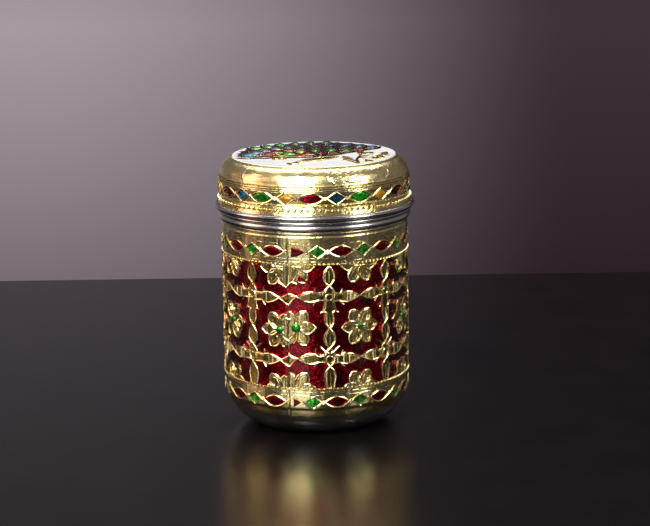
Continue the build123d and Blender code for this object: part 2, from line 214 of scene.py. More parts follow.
# The steel cup: one deep-drawn sheet with a rounded base corner, a swaged bead and a folded stop under
# the neck. It is polished, with faint rings from spinning. Everything on the jar is bonded to it.
sheet_t = 0.5 * MM
foil_t = 0.25 * MM
cup_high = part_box("jar_cup")[1]
lid_low, lid_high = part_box("lid_cap")
mouth_z = cup_high.z
foil_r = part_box("jar_red_ground")[1].y - foil_t
jar_r = foil_r - foil_t
base_corner_r = 14.0 * MM
collar_top_z = lid_low.z - 0.3 * MM
collar_fold_t = 0.9 * MM
collar_bead_h = 3.6 * MM
collar_bead_out = 1.7 * MM
collar_groove_out = 0.6 * MM
round_steps = 256


def arc(centre_r, centre_z, radius, start, end, steps):
    """Points (r, z) along an arc of a half section, with its angles in degrees."""
    turns = np.radians(np.linspace(start, end, steps + 1))
    return [(centre_r + radius * math.cos(t), centre_z + radius * math.sin(t)) for t in turns]


def bulge(start, middle, end):
    """Points (r, z) along a bead that swells from start to end, out to a radius of middle."""
    points = []
    for t in np.linspace(0, 1, 13):
        base_r, z = start[0] + (end[0] - start[0]) * t, start[1] + (end[1] - start[1]) * t
        swell = math.sin(math.pi * t) ** 0.8
        points.append((base_r + (middle - (start[0] + end[0]) / 2) * swell, z))
    return points


def link(name, mesh, material, sharp=38):
    """A new object in the scene that shows a mesh in a material, smooth except at real edges."""
    mesh.materials.clear()
    mesh.materials.append(material)
    mesh.shade_smooth()
    mesh.set_sharp_from_angle(angle=math.radians(sharp))
    made = bpy.data.objects.new(name, mesh)
    scene.collection.objects.link(made)
    return made


def settled(piece, body, slot, *nodes):
    """A finished piece: it rides on its body and stands for its CAD nodes, which it hides. Its slot is not
    used.
    """
    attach(piece, body)
    if nodes:
        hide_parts(*nodes)


def lathe(name, section, material, steps=round_steps, shape=None):
    """A turned solid from a half section of (r, z) points, walked with the material on its left.

    shape moves the surface: it takes the angle, radius and height of every point as arrays, and gives back
    the new radius, the new height, and how much painted shade and tone the point takes, from 0 to 1."""
    section = np.array(section)
    turn, r = np.meshgrid(np.linspace(0, math.tau, steps, endpoint=False), section[:, 0])
    z = np.repeat(section[:, 1:], steps, axis=1)
    hollow = np.zeros_like(r)
    if shape:
        on_axis = section[:, :1] < 1e-9
        new_r, new_z, hollow = shape(turn, r, z)
        r = np.where(on_axis, r, new_r)
        z = np.where(on_axis, z, new_z)
    grid = np.stack([r * np.sin(turn), -r * np.cos(turn), z], -1)
    vertices = []
    marks = []
    rows = []
    for row, (radius, _) in enumerate(section):
        count = 1 if radius < 1e-9 else steps
        rows.append(range(len(vertices), len(vertices) + count))
        vertices += grid[row, :count].tolist()
        marks += hollow[row, :count].tolist()
    faces = []
    pairs = list(zip(rows, rows[1:]))
    if len(rows[0]) > 1:
        pairs.append((rows[-1], rows[0]))
    for low, high in pairs:
        for n in range(steps):
            m = (n + 1) % steps
            ring = (low[n % len(low)], low[m % len(low)], high[m % len(high)], high[n % len(high)])
            faces.append(tuple(dict.fromkeys(ring)))
    mesh = bpy.data.meshes.new(name)
    mesh.from_pydata(vertices, [], faces)
    mesh.attributes.new("hollow", "FLOAT", "POINT").data.foreach_set("value", marks)
    return link(name, mesh, material)


steel, tree, shader = new_material("polished_steel", Metallic=1.0)
stretch = add(tree, "ShaderNodeMapping", {"Vector": object_place(tree), "Scale": (60, 60, 2600)})
smear = noise(tree, 70.0, 5.0)
tint = ramp(tree, smear, [(0.3, (0.50, 0.49, 0.49)), (0.7, (0.68, 0.67, 0.66))])
tree.links.new(tint, shader.inputs["Base Color"])
gloss = add(tree, "ShaderNodeMapRange", {"Value": smear, "To Min": 0.14, "To Max": 0.28})
tree.links.new(gloss["Result"], shader.inputs["Roughness"])
bumped(tree, shader, noise(tree, 1.0, 3.0, stretch["Vector"]), 0.02 * MM, 0.4)

fold_low_z = collar_top_z - collar_fold_t
bead_low_z = fold_low_z - collar_bead_h
corner_r = jar_r - base_corner_r
inner_r = jar_r - sheet_t
cup_section = [(0, 0)]
cup_section += arc(corner_r, base_corner_r, base_corner_r, 270, 360, 24)
cup_section += bulge((jar_r, bead_low_z), jar_r + collar_bead_out, (jar_r + collar_groove_out, fold_low_z))
fold_r = collar_fold_t / 2
cup_section += arc(cup_high.x - fold_r, collar_top_z - fold_r, fold_r, -90, 90, 8)
cup_section += [(jar_r + 0.3 * MM, collar_top_z), (jar_r, collar_top_z + 0.2 * MM)]
cup_section += arc(jar_r - sheet_t / 2, mouth_z - sheet_t / 2, sheet_t / 2, 0, 180, 6)
cup_section += bulge(
    (inner_r, fold_low_z - sheet_t), inner_r + collar_bead_out - sheet_t, (inner_r, bead_low_z + sheet_t)
)
cup_section += arc(corner_r, base_corner_r, base_corner_r - sheet_t, 360, 270, 20)
cup_section += [(0, sheet_t)]
settled(lathe("steel_cup", cup_section, steel), "jar", "steel", "jar_cup")


# The foil sleeve: thin gold-coloured foil, pressed over a die and bonded round the cup. This is its
# sheet, with flat-topped leaves and petals. Its lower edge is tucked by hand round the base corner.
sleeve_low_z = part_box("jar_foil")[0].z
sleeve_high_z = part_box("jar_foil")[1].z
window_low_z = 19.5 * MM
window_high_z = 62.7 * MM
flower_pitch_z = 22.1 * MM
flower_z = 40.6 * MM
level_bars = (flower_z - flower_pitch_z / 2, flower_z + flower_pitch_z / 2)
seam_deg = -16.5
seam_panel_deg = 49.7
panel_count = 8
panel_deg = (360 - seam_panel_deg) / panel_count
first_bar_deg = seam_deg + seam_panel_deg / 2
cell_sizes = ((5.7 * MM, 4.0 * MM), (8.2 * MM, 3.4 * MM))
cell_count = 24
upper_from, upper_to = 1.7, 333.8
lower_from, lower_to = -2.1, 333.7
upper_row = (67.7 * MM, upper_from, (upper_to - upper_from) / (cell_count - 1))
lower_row = (14.1 * MM, lower_from, (lower_to - lower_from) / (cell_count - 1))
node_r = 1.25 * MM
petal_l = 6.5 * MM
petal_w = 4.3 * MM
petal_at = 3.7 * MM
core_r = 1.8 * MM
pressed_h = 0.42 * MM
pressed_from_z = 11.0 * MM
degree_u = math.radians(1) * foil_r
half_panel = panel_deg / 2 * degree_u
half_seam_panel = seam_panel_deg / 2 * degree_u
seam_flowers = ((-3.2 * MM, -0.7 * MM), (2.7 * MM, 0.3 * MM))
seam_step = 0.35 * MM
seam_fused_u = 2.4 * MM
seam_fused_z = 3.4 * MM
seam_top_h = 6.2 * MM
seam_foot_h = 3.6 * MM
bar_above = ((0, 1.7), (1.2, 1.95), (2.6, 1.5), (4.0, 0.5), (5.2, 1.4), (7.2, 2.0), (9.2, 1.5), (11.05, 0.4))
bar_below = ((0, 1.7), (1.6, 1.6), (4.9, 2.1), (5.1, 1.2), (6.8, 1.55), (8.8, 1.4), (11.05, 0.4))
bar_foot = ((0, 1.7), (1.3, 1.4), (2.5, 0.7), (4.2, 1.6), (6.0, 2.0), (8.2, 1.7), (11.05, 1.3))
leaf_bar = ((0, 1.6), (3.6, 1.35), (4.5, 1.65), (6.3, 1.9), (8.4, 1.4), (10.3, 0.6), (11.12, 0.35))
seam_leaf_bar = leaf_bar[:5] + ((10.6, 0.6), (11.4, 0.4), (12.8, 0.9), (13.8, 1.6), (14.25, 2.3))


def waviness(u, v, seed, size):
    """Smooth irregular waves over a sheet, from -1 to 1, with humps about size metres across."""
    picker = random.Random(seed)
    total = np.zeros(np.broadcast(u, v).shape)
    for _ in range(9):
        turn = picker.uniform(0, math.tau)
        pitch = size * picker.uniform(0.6, 1.8)
        phase = picker.uniform(0, math.tau)
        total = total + np.sin((u * math.cos(turn) + v * math.sin(turn)) * math.tau / pitch + phase)
    return total / 4.0


def turned(x, z, degrees):
    """A point of a flat drawing, turned about its middle."""
    c, s = math.cos(math.radians(degrees)), math.sin(math.radians(degrees))
    return x * c - z * s, x * s + z * c


def lens_depth(x, z, length, width, power=2.0):
    """How deep a point lies inside a pointed oval, in metres; it is negative outside."""
    return width / 2 * (1 - np.abs(2 * x / length) ** power) - np.abs(z)


def strip_depth(along, across, profile):
    """How deep a point lies inside a strip, whose profile is pairs of (place, half width) in mm."""
    places, halves = np.array(profile).T * MM
    return np.interp(along, places, halves) - np.abs(across)


def petal_power(n):
    """Petals that lie along the row are pointed; those above and below it are blunter."""
    return 2.0 if n % 3 == 0 else 3.2


def flower_depth(x, z):
    """How deep a point lies inside a flower of six petals and a core."""
    depth = core_r - np.hypot(x, z)
    for n in range(6):
        along, across = turned(x, z, -60 * n)
        depth = np.maximum(depth, lens_depth(along - petal_at, across, petal_l, petal_w, petal_power(n)))
    return depth


def nearest(u, middle):
    """The way round the wall from a middle, the short way."""
    full = 360 * degree_u
    return (u - middle + full / 2) % full - full / 2


def lattice_depth(u, z):
    """How deep a point lies inside the gold of the lattice; it is negative in the red windows."""
    depth = np.maximum(window_low_z - z, z - window_high_z)
    for n in range(panel_count + 1):
        bar_u = (first_bar_deg + n * panel_deg) * degree_u
        near = nearest(u, bar_u)
        upper, lower = z - level_bars[1], z - level_bars[0]
        bar = np.where(upper >= 0, strip_depth(upper, near, bar_above), strip_depth(-upper, near, bar_below))
        bar = np.where(z < flower_z, strip_depth(lower, near, bar_above), bar)
        bar = np.where(lower < 0, strip_depth(-lower, near, bar_foot), bar)
        depth = np.maximum(depth, bar)
        seam = n == panel_count
        half = half_seam_panel if seam else half_panel
        near = nearest(u, seam_deg * degree_u if seam else bar_u + half)
        panel = np.full_like(depth, -1.0)
        profile = seam_leaf_bar if seam else leaf_bar
        if seam:
            fused = np.minimum(seam_fused_u - np.abs(near), seam_fused_z - np.abs(z - flower_z))
            ends = np.maximum(z - window_high_z + seam_top_h, window_low_z + seam_foot_h - z)
            panel = np.maximum(fused, np.minimum(seam_fused_u * 1.5 - np.abs(near), ends))
        for bar_z in level_bars:
            level = z - bar_z - (seam_step * np.clip(near / (3 * MM), -1, 1) if seam else 0)
            panel = np.maximum(panel, strip_depth(half - np.abs(near), level, profile))
        for shift, lift in seam_flowers if seam else ((0.0, 0.0),):
            for row in (-1, 0, 1):
                flower = flower_depth(near - shift, z - flower_z - lift - row * flower_pitch_z)
                panel = np.maximum(panel, np.where(near * shift >= 0, flower, -1.0))
        depth = np.where(np.abs(near) < half, np.maximum(depth, panel), depth)
    return depth


def row_depth(u, z, row, degree, sizes=cell_sizes):
    """How deep a point lies inside the cells of a border row: diamonds and pointed ovals turn about."""
    row_z, first, step = row
    place = (u / degree - first + step / 2) % 360 - step / 2
    index = np.round(place / step)
    near = (place - index * step) * degree
    (diamond_l, diamond_w), (oval_l, oval_w) = sizes
    diamond = (1 - np.abs(near) / (diamond_l / 2) - np.abs(z - row_z) / (diamond_w / 2)) * diamond_w / 2
    cell = np.where(index % 2 == 0, diamond, lens_depth(near, z - row_z, oval_l, oval_w))
    return np.where(index < cell_count, cell, -1.0)


def foil_material(name, colour, dark, hollow_colour, dull=0.30, bright=0.12):
    """Gold-coloured foil: a little crinkled, darkened towards a shade colour by painted shade in its hollows
    and some random tone, and rougher where it is dull.
    """
    material, tree, shader = new_material(name, Metallic=1.0)
    place = object_place(tree)
    patches = noise(tree, 260.0, 5.0, place)
    sheen = ramp(tree, patches, [(0.32, dark), (0.6, colour)])
    # The mark mixes in the painted shade colour: shade painted into hollows and recesses, plus some random
    # tone.
    mark = add(tree, "ShaderNodeAttribute", attribute_name="hollow")["Fac"]
    tree.links.new(mixed(tree, mark, sheen, (*hollow_colour, 1.0)), shader.inputs["Base Color"])
    gloss = add(tree, "ShaderNodeMapRange", {"Value": patches, "To Min": dull, "To Max": bright})
    tree.links.new(gloss["Result"], shader.inputs["Roughness"])
    fine = {"Vector": place, "Scale": 1400.0, "Detail": 4.0, "Roughness": 0.6}
    bumped(tree, shader, add(tree, "ShaderNodeTexNoise", fine)["Fac"], 0.09 * MM, 0.7)
    return material


# A foil's colours: its bright tone, its darker random patches, and a dark colour of painted shade for its
# hollows and recesses.
pressed_gold = ((0.90, 0.77, 0.41), (0.62, 0.49, 0.19), (0.27, 0.19, 0.055))
pressed_foil = foil_material("pressed_gold_foil", *pressed_gold)

sleeve_columns = 480
sleeve_rows = 150
column_u = (np.arange(sleeve_columns) / sleeve_columns * 360 + seam_deg) * degree_u
u, z = np.meshgrid(column_u, np.linspace(sleeve_low_z, sleeve_high_z, sleeve_rows))
lattice = lattice_depth(u, z)
cells = np.maximum(row_depth(u, z, upper_row, degree_u), row_depth(u, z, lower_row, degree_u))
raised = np.clip(lattice / (0.3 * MM), 0, 1) * (1 - np.clip(0.6 + cells / (0.4 * MM), 0, 1))
raised = raised * np.clip((z - pressed_from_z) / (1.2 * MM), 0, 1)
beaten = waviness(u, z, 21, 1.1 * MM) * 0.05 * MM + waviness(u, z, 22, 3.2 * MM) * 0.05 * MM
beside_seam = nearest(u, seam_deg * degree_u)
streaks = np.exp(-((beside_seam / (2.6 * MM)) ** 2)) * waviness(u, z * 0.06, 23, 0.9 * MM) * 0.07 * MM
lap_edge = 0.16 * MM * np.clip(1 - np.abs(beside_seam - 0.3 * MM) / (0.55 * MM), 0, 1)
tuck_wave = waviness(u, 0 * z, 5, 9 * MM) * 0.6 * MM * np.clip(1 - (z - sleeve_low_z) / (3 * MM), 0, 1)
edge_z = z + tuck_wave
wall_r = np.where(
    edge_z < base_corner_r,
    corner_r + np.sqrt(np.clip(base_corner_r**2 - (base_corner_r - edge_z) ** 2, 0, None)),
    jar_r,
)
sleeve_r = wall_r + foil_t + raised * (pressed_h + beaten) + streaks + lap_edge
sleeve_r += (raised < 0.05) * waviness(u, z, 24, 2.2 * MM) * 0.03 * MM
sleeve_r[0] = wall_r[0] + 0.02 * MM
sleeve_r[-1] = jar_r + 0.04 * MM
turn = u / foil_r
vertices = np.stack([sleeve_r * np.sin(turn), -sleeve_r * np.cos(turn), edge_z], -1).reshape(-1, 3)
faces = []
for row in range(sleeve_rows - 1):
    start = row * sleeve_columns
    above = start + sleeve_columns
    for column in range(sleeve_columns):
        beside = (column + 1) % sleeve_columns
        faces.append((start + column, start + beside, above + beside, above + column))
sleeve_mesh = bpy.data.meshes.new("foil_sleeve")
sleeve_mesh.from_pydata(vertices.tolist(), [], faces)
# Painted shade and tone for the sleeve: the flat tops in the windows and the low ground are darkened as
# painted shade, standing in for dark reflections and shade; the bar nodes get dark spots of painted shade;
# random tone is added.
beside_level = np.minimum(np.abs(z - level_bars[0]), np.abs(z - level_bars[1]))
beside_bar = np.full_like(u, 1.0)
for n in range(panel_count + 1):
    beside_bar = np.minimum(beside_bar, np.abs(nearest(u, (first_bar_deg + n * panel_deg) * degree_u)))
on_bar = np.minimum(beside_level, beside_bar)
in_window = (z > window_low_z) * (z < window_high_z)
flat_top_shade = np.clip(lattice / (0.9 * MM), 0, 1) * in_window * np.where(on_bar < 2.3 * MM, 1.0, 0.75)
node_pit_shade = np.clip((1.3 * MM - np.hypot(beside_level, beside_bar)) / (0.4 * MM), 0, 1)
hollow = np.clip(flat_top_shade * 0.9 + node_pit_shade + waviness(u, z, 25, 1.4 * MM) * 0.2 + (1 - raised) * 0.3, 0, 1)
marks = sleeve_mesh.attributes.new("hollow", "FLOAT", "POINT")
marks.data.foreach_set("value", hollow.ravel())
settled(link("foil_sleeve", sleeve_mesh, pressed_foil, 80), "jar", "gold_foil", "jar_foil")


# Pressed lines of the sleeve: sharp ridges round the petals, leaves, bars and cells, barbs, and fine
# hatching across the leaves. They are the crests of the same foil.
def started_tree(name, **sockets):
    """A new geometry tree with named inputs by kind, and what comes in through them."""
    tree = bpy.data.node_groups.new(name, "GeometryNodeTree")
    tree.interface.new_socket("Geometry", in_out="OUTPUT", socket_type="NodeSocketGeometry")
    for kind, labels in {"Geometry": ["Geometry"], "Material": ["Material"], **sockets}.items():
        for label in labels:
            tree.interface.new_socket(label, in_out="INPUT", socket_type=f"NodeSocket{kind}")
    return tree, tree.nodes.new("NodeGroupInput").outputs


def swept(tree, shape, given):
    """Turns realized curves of a tree into wires that wobble a little."""
    place = add(tree, "GeometryNodeInputPosition")["Position"]
    cloud = add(tree, "ShaderNodeTexNoise", {"Vector": place, "Scale": 300.0, "Detail": 1.0})["Color"]
    shaken = {0: cloud, 1: (0.5, 0.5, 0.5)}
    shaken = add(tree, "ShaderNodeVectorMath", shaken, operation="SUBTRACT")["Vector"]
    shaken = {0: shaken, "Scale": given["Wobble"]}
    shaken = add(tree, "ShaderNodeVectorMath", shaken, operation="SCALE")["Vector"]
    shape = add(tree, "GeometryNodeSetPosition", {"Geometry": shape, "Offset": shaken})["Geometry"]
    section = {"Resolution": given["Sides"], "Radius": given["Wire radius"]}
    section = add(tree, "GeometryNodeCurvePrimitiveCircle", section)["Curve"]
    wires = {"Curve": shape, "Profile Curve": section, "Fill Caps": True}
    return add(tree, "GeometryNodeCurveToMesh", wires)["Mesh"]


def repeated(tree, given, sweep, spacing, **places):
    """A tree's drawing, set out at places. With sweep, its lines become wires."""
    shape = given["Geometry"]
    if sweep:
        lines = add(tree, "GeometryNodeMeshToCurve", {"Mesh": shape})["Curve"]
        lines = {"Curve": lines, "Length": spacing}
        shape = add(tree, "GeometryNodeResampleCurve", lines, mode="LENGTH")["Curve"]
    copies = add(tree, "GeometryNodeInstanceOnPoints", {"Instance": shape, **places})["Instances"]
    shape = add(tree, "GeometryNodeRealizeInstances", {"Geometry": copies})["Geometry"]
    return swept(tree, shape, given) if sweep else shape


def ended_tree(tree, given, shape):
    """The tree, with its shape made real, dressed in its material and sent out."""
    shape = add(tree, "GeometryNodeRealizeInstances", {"Geometry": shape})["Geometry"]
    dressed = {"Geometry": shape, "Material": given["Material"]}
    add(tree, "NodeGroupOutput", {"Geometry": add(tree, "GeometryNodeSetMaterial", dressed)["Geometry"]})
    return tree


def wall_tree(name, sweep):
    """A tree that repeats a flat drawing along the wall and wraps it round."""
    lengths = ("Wall radius", "Height", "Pitch", "Start", "Wire radius", "Wobble", "Spacing")
    tree, given = started_tree(name, Float=lengths, Int=("Copies", "Sides"))

    def calc(operation, first, second=0.0):
        return add(tree, "ShaderNodeMath", {0: first, 1: second}, operation=operation)["Value"]

    step = add(tree, "ShaderNodeCombineXYZ", {"X": given["Pitch"]})["Vector"]
    begin = add(tree, "ShaderNodeCombineXYZ", {"X": given["Start"]})["Vector"]
    line = {"Count": given["Copies"], "Start Location": begin, "Offset": step}
    points = add(tree, "GeometryNodeMeshLine", line)["Mesh"]
    shape = repeated(tree, given, sweep, given["Spacing"], Points=points)
    part = add(tree, "GeometryNodeInputPosition")["Position"]
    part = add(tree, "ShaderNodeSeparateXYZ", {"Vector": part})
    angle = calc("DIVIDE", part["X"], given["Wall radius"])
    out = calc("SUBTRACT", calc("ADD", given["Wall radius"], given["Height"]), part["Y"])
    along = calc("MULTIPLY", out, calc("SINE", angle))
    away = calc("MULTIPLY", calc("MULTIPLY", out, calc("COSINE", angle)), -1.0)
    wrapped = add(tree, "ShaderNodeCombineXYZ", {"X": along, "Y": away, "Z": part["Z"]})["Vector"]
    shape = add(tree, "GeometryNodeSetPosition", {"Geometry": shape, "Position": wrapped})["Geometry"]
    return ended_tree(tree, given, shape)


wire_tree = wall_tree("wires_round_wall", sweep=True)
pattern_tree = wall_tree("pieces_round_wall", sweep=False)


def baked(mesh, tree, name, material, **values):
    """A drawing put through a tree, as a plain mesh object. Values fill the tree's named inputs."""
    source = bpy.data.objects.new("drawing", mesh)
    scene.collection.objects.link(source)
    modifier = source.modifiers.new(tree.name, "NODES")
    modifier.node_group = tree
    values["Material"] = material
    for item in tree.interface.items_tree:
        label = item.name.replace(" ", "_")
        if item.in_out == "INPUT" and label in values:
            modifier[item.identifier] = values[label]
    graph = bpy.context.evaluated_depsgraph_get()
    made = bpy.data.meshes.new_from_object(source.evaluated_get(graph))
    bpy.data.objects.remove(source)
    return link(name, made, material)


def joined(pieces, name):
    """Several objects of one real piece, as one object."""
    bpy.ops.object.select_all(action="DESELECT")
    for piece in pieces:
        piece.select_set(True)
    bpy.context.view_layer.objects.active = pieces[0]
    bpy.ops.object.join()
    pieces[0].name = name
    pieces[0].data.name = name
    return pieces[0]


def drawing(lines):
    """Lines of (x, z) points, in metres, as a flat mesh of edges."""
    vertices = []
    edges = []
    for line in lines:
        start = len(vertices)
        vertices += [(x, 0.0, z) for x, z in line]
        edges += [(n, n + 1) for n in range(start, len(vertices) - 1)]
    mesh = bpy.data.meshes.new("drawing")
    mesh.from_pydata(vertices, edges, [])
    return mesh


def lens_lines(length, width, past, power=2.0, steps=12):
    """The two bowed lines of a pointed oval, which cross at its points and run past them."""
    reach = length / 2 + past
    xs = np.linspace(-reach, reach, steps + 1)
    top = [(x, width / 2 * (1 - abs(2 * x / length) ** power)) for x in xs]
    return [top, [(x, -z) for x, z in top]]


def diamond_lines(length, width, past):
    """The two bent lines of a diamond, which cross at its points and run past them."""
    drop = width * past / length
    top = [(-length / 2 - past, -drop), (0, width / 2), (length / 2 + past, -drop)]
    return [top, [(x, -z) for x, z in top]]


def circle_lines(radius):
    """A round line, in 14 short stretches."""
    turns = np.linspace(0, math.tau, 15)
    return [[(radius * math.cos(t), radius * math.sin(t)) for t in turns]]


def placed(lines, x, z, degrees=0.0):
    """Lines turned about their middle, then moved."""
    return [[(turned(a, b, degrees)[0] + x, turned(a, b, degrees)[1] + z) for a, b in line] for line in lines]


def in_mm(lines, z=0.0):
    """Lines written in millimetres, moved up to a height in metres."""
    return [[(a * MM, b * MM + z) for a, b in line] for line in lines]


def mirrored(lines, flip_x=True, flip_z=False):
    """The lines and their mirror images."""
    return lines + [[(-x if flip_x else x, -z if flip_z else z) for x, z in line] for line in lines]


def kept(lines, low_x, high_x):
    """The stretches of some lines that lie between two places along the wall, at the windows' height."""
    stretches = []
    for line in lines:
        stretch = []
        fine = [line[0]]
        for (x0, z0), (x1, z1) in zip(line, line[1:]):
            fine += [(x0 + (x1 - x0) * t, z0 + (z1 - z0) * t) for t in (0.25, 0.5, 0.75, 1.0)]
        for x, z in fine + [(math.inf, 0)]:
            if low_x <= x <= high_x and window_low_z <= z <= window_high_z:
                stretch.append((x, z))
                continue
            if len(stretch) > 1:
                stretches.append(stretch)
            stretch = []
    return stretches


def flower_lines(x, z, at=petal_at, length=petal_l, width=petal_w, steps=12):
    """The outlines of a flower's petals, or smaller ones inside them."""
    lines = []
    for n in range(6):
        at_x, at_z = turned(at, 0, 60 * n)
        petal = lens_lines(length, width, 0.0, petal_power(n), steps)
        lines += placed(petal, x + at_x, z + at_z, 60 * n)
    return lines


vein = (petal_at + 0.4 * MM, petal_l * 0.5, petal_w * 0.4, 6)
hatch_step = 0.52 * MM
hatch_gap = 0.3 * MM
hatch_least = 0.25 * MM


def hatching(profile, low_x, high_x, half, z):
    """Fine upright lines across a leaf whose half height follows a profile from the bar beside it."""
    places, halves = np.array(profile).T * MM
    lines = []
    for x in np.arange(low_x, high_x, hatch_step):
        tall = np.interp(half - abs(x), places, halves) - hatch_gap
        if tall > hatch_least:
            lines.append([(x, z - tall), (x, z), (x, z + tall)])
    return lines


bar_strand = [(1.7, 0), (2.0, 1.2), (1.6, 2.6), (0.5, 3.7), (0, 4.05), (-0.9, 4.8), (-1.75, 6.0), (-2.0, 7.3)]
bar_strand += [(-1.6, 9.0), (-0.6, 10.5), (0, 11.05)]
bar_upper = [(0, 11.05), (0.7, 11.9), (1.4, 13.0), (1.6, 14.2), (1.4, 15.6), (1.1, 16.8)]
bar_upper += [(2.0, 17.2), (3.0, 16.8)]
bar_skirt = [(2.4, 17.1), (1.9, 18.6), (1.6, 20.4), (1.7, 22.0)]
bar_foot_strand = [(1.7, 0), (1.2, -1.3), (0, -2.5), (-1.5, -4.2), (-2.0, -6.0), (-1.7, -8.2), (-1.2, -10.6)]
bar_barbs = [[(0.5, 2.4), (1.6, 3.0), (3.2, 4.6)], [(2.2, 1.6), (3.9, 1.0), (5.3, 2.3)]]
bar_lines = in_mm(mirrored([bar_strand, bar_upper, bar_skirt, bar_foot_strand] + bar_barbs), level_bars[0])
bar_lines += in_mm(mirrored([bar_strand]), level_bars[1])
bar_vein = [(0, 5.4), (0.1, 7.2), (0, 9.4)]
bar_fine = in_mm([[(0, -4.6), (0.2, -7), (0, -10)], bar_vein], level_bars[0])
bar_fine += in_mm([bar_vein, [(0, -6), (0.1, -8), (0, -10)]], level_bars[1])
for bar_z in level_bars:
    bar_lines += placed(circle_lines(node_r), 0, bar_z)
bar_lines = kept(bar_lines, -half_panel, half_panel)

leaf_strand = [(-10.0, 1.5), (-7.6, 1.3), (-6.7, 1.6), (-4.9, 1.9), (-2.8, 1.4), (-0.95, 0.5), (0, 0)]
leaf_strand += [(-x, -z) for x, z in leaf_strand[-2::-1]]
leaf_barbs = [[(-7.2, 1.5), (-6.7, 2.3), (-6.5, 3.2)], [(-7.2, -1.5), (-6.9, -2.1), (-6.1, -2.8)]]
block_lines = [[(-9.3, -1.1), (-9.3, 1.1)], [(-8.5, -1.1), (-8.5, 1.1)]]
panel_lines = []
panel_fine = []
for row in (-1, 0, 1):
    panel_lines += flower_lines(0, flower_z + row * flower_pitch_z)
    panel_fine += flower_lines(0, flower_z + row * flower_pitch_z, *vein)
for bar_z in level_bars:
    panel_lines += in_mm(mirrored([leaf_strand], False, True) + mirrored(leaf_barbs), bar_z)
    panel_fine += in_mm(mirrored(block_lines), bar_z)
    panel_fine += hatching(leaf_bar, -6.3 * MM, 6.4 * MM, half_panel, bar_z)
panel_lines = kept(panel_lines, -half_panel, half_panel)
panel_fine = kept(panel_fine, -half_panel, half_panel)

seam_strand = [(13.0, 1.5), (10.2, 1.3), (9.3, 1.6), (7.6, 1.9), (5.5, 1.4), (3.9, 0.5), (3.1, 0.1)]
seam_top = [(3.1, 0.1), (1.8, 0.6), (0.6, 1.3), (-0.9, 0.8), (-2.6, 0.2), (-3.2, 0)]
seam_tip = [(3.1, -0.1), (2.0, -0.7), (1.2, -1.4), (0.4, -2.7), (-0.9, -2.0), (-2.4, -0.7), (-3.2, 0)]
seam_barbs = [[(9.6, 1.5), (9.3, 2.3), (9.3, 3.4)], [(9.6, -1.5), (9.2, -2.2), (8.6, -2.9)]]
seam_gap = 1.6 * MM
seam_lines = []
seam_fine = []
for shift, lift in seam_flowers:
    own = (-half_seam_panel, -seam_gap) if shift < 0 else (seam_gap, half_seam_panel)
    for row in (-1, 0, 1):
        at_z = flower_z + lift + row * flower_pitch_z
        seam_lines += kept(flower_lines(shift, at_z), *own)
        seam_fine += kept(flower_lines(shift, at_z, *vein), *own)
for bar_z in level_bars:
    halves = mirrored(mirrored([seam_strand], False, True) + seam_barbs) + [seam_top, seam_tip]
    halves = [[(x, z + 0.35 * max(-1, min(1, x / 3))) for x, z in line] for line in halves]
    seam_lines += in_mm(halves, bar_z)
    for side in (-1, 1):
        leaf = hatching(seam_leaf_bar, 4.0 * MM, 9.2 * MM, half_seam_panel, bar_z + side * seam_step)
        seam_fine += [[(side * x, z) for x, z in line] for line in leaf]
lap_x, lap_step = 0.3, 3.4
seam_fine += in_mm([[(lap_x, z), (lap_x, z + lap_step)] for z in np.arange(8.5, 72, lap_step)])
streak_heights = ((window_low_z, 23.0 * MM), (37.4 * MM, 43.8 * MM), (56.6 * MM, window_high_z))
streak_places = (-2.2, -1.5, -0.7, 1.1, 1.8, 2.6)
for low_z, high_z in streak_heights:
    for x in streak_places:
        seam_fine.append([(x * MM, low_z), ((x + 0.1) * MM, (low_z + high_z) / 2), (x * MM, high_z)])
seam_edge = [(-3.4, 56.9), (-1.9, 56.0), (-0.4, 55.2), (0.4, 56.4), (1.5, 57.2), (3.2, 56.6)]
seam_edge_low = [(-2.0, 37.6), (-0.6, 36.6), (0.2, 36.0), (0.8, 37.4), (1.6, 37.8)]
seam_edge_high = [(-2.0, 43.8), (-0.8, 44.2), (0.4, 44.0), (1.6, 44.4)]
seam_lines += in_mm([seam_edge, seam_edge_low, seam_edge_high])

ridge = {"Wire_radius": 0.28 * MM, "Height": 0.47 * MM, "Wobble": 0.35 * MM, "Sides": 6, "Spacing": 0.55 * MM}
hair = {"Wire_radius": 0.17 * MM, "Height": 0.50 * MM, "Wobble": 0.2 * MM, "Sides": 3, "Spacing": 0.6 * MM}
panels = {"Copies": panel_count, "Pitch": 2 * half_panel, "Start": (first_bar_deg + panel_deg / 2) * degree_u}
bars = {"Copies": panel_count + 1, "Pitch": 2 * half_panel, "Start": first_bar_deg * degree_u}
seam = {"Copies": 1, "Pitch": 0.0, "Start": seam_deg * degree_u}
on_jar = {"Wall_radius": foil_r}
sleeve_ridges = []
for lines, places, size in (
    (panel_lines, panels, ridge),
    (panel_fine, panels, hair),
    (seam_lines, seam, ridge),
    (seam_fine, seam, hair),
    (bar_lines, bars, ridge),
    (bar_fine, bars, hair),
):
    sleeve_ridges.append(baked(drawing(lines), wire_tree, "ridges", pressed_foil, **places, **size, **on_jar))
settled(joined(sleeve_ridges, "sleeve_ridges"), "jar", "gold_foil")


# Rims and beads of the sleeve's two borders: flowing rims round the cells, ruled lines round the jar, and
# rows of tiny pressed beads. They are the same foil too.
def stacked(rings, tip):
    """A closed mesh from rings of points, each inside the last, with a flat back and a tip."""
    count = len(rings[0])
    vertices = [point for ring in rings for point in ring] + [tip]
    faces = [tuple(range(count - 1, -1, -1))]
    last = count * (len(rings) - 1)
    for low in range(0, last, count):
        high = low + count
        faces += [(low + n, low + (n + 1) % count, high + (n + 1) % count, high + n) for n in range(count)]
    faces += [(last + n, last + (n + 1) % count, last + count) for n in range(count)]
    mesh = bpy.data.meshes.new("drop")
    mesh.from_pydata(vertices, [], faces)
    return mesh


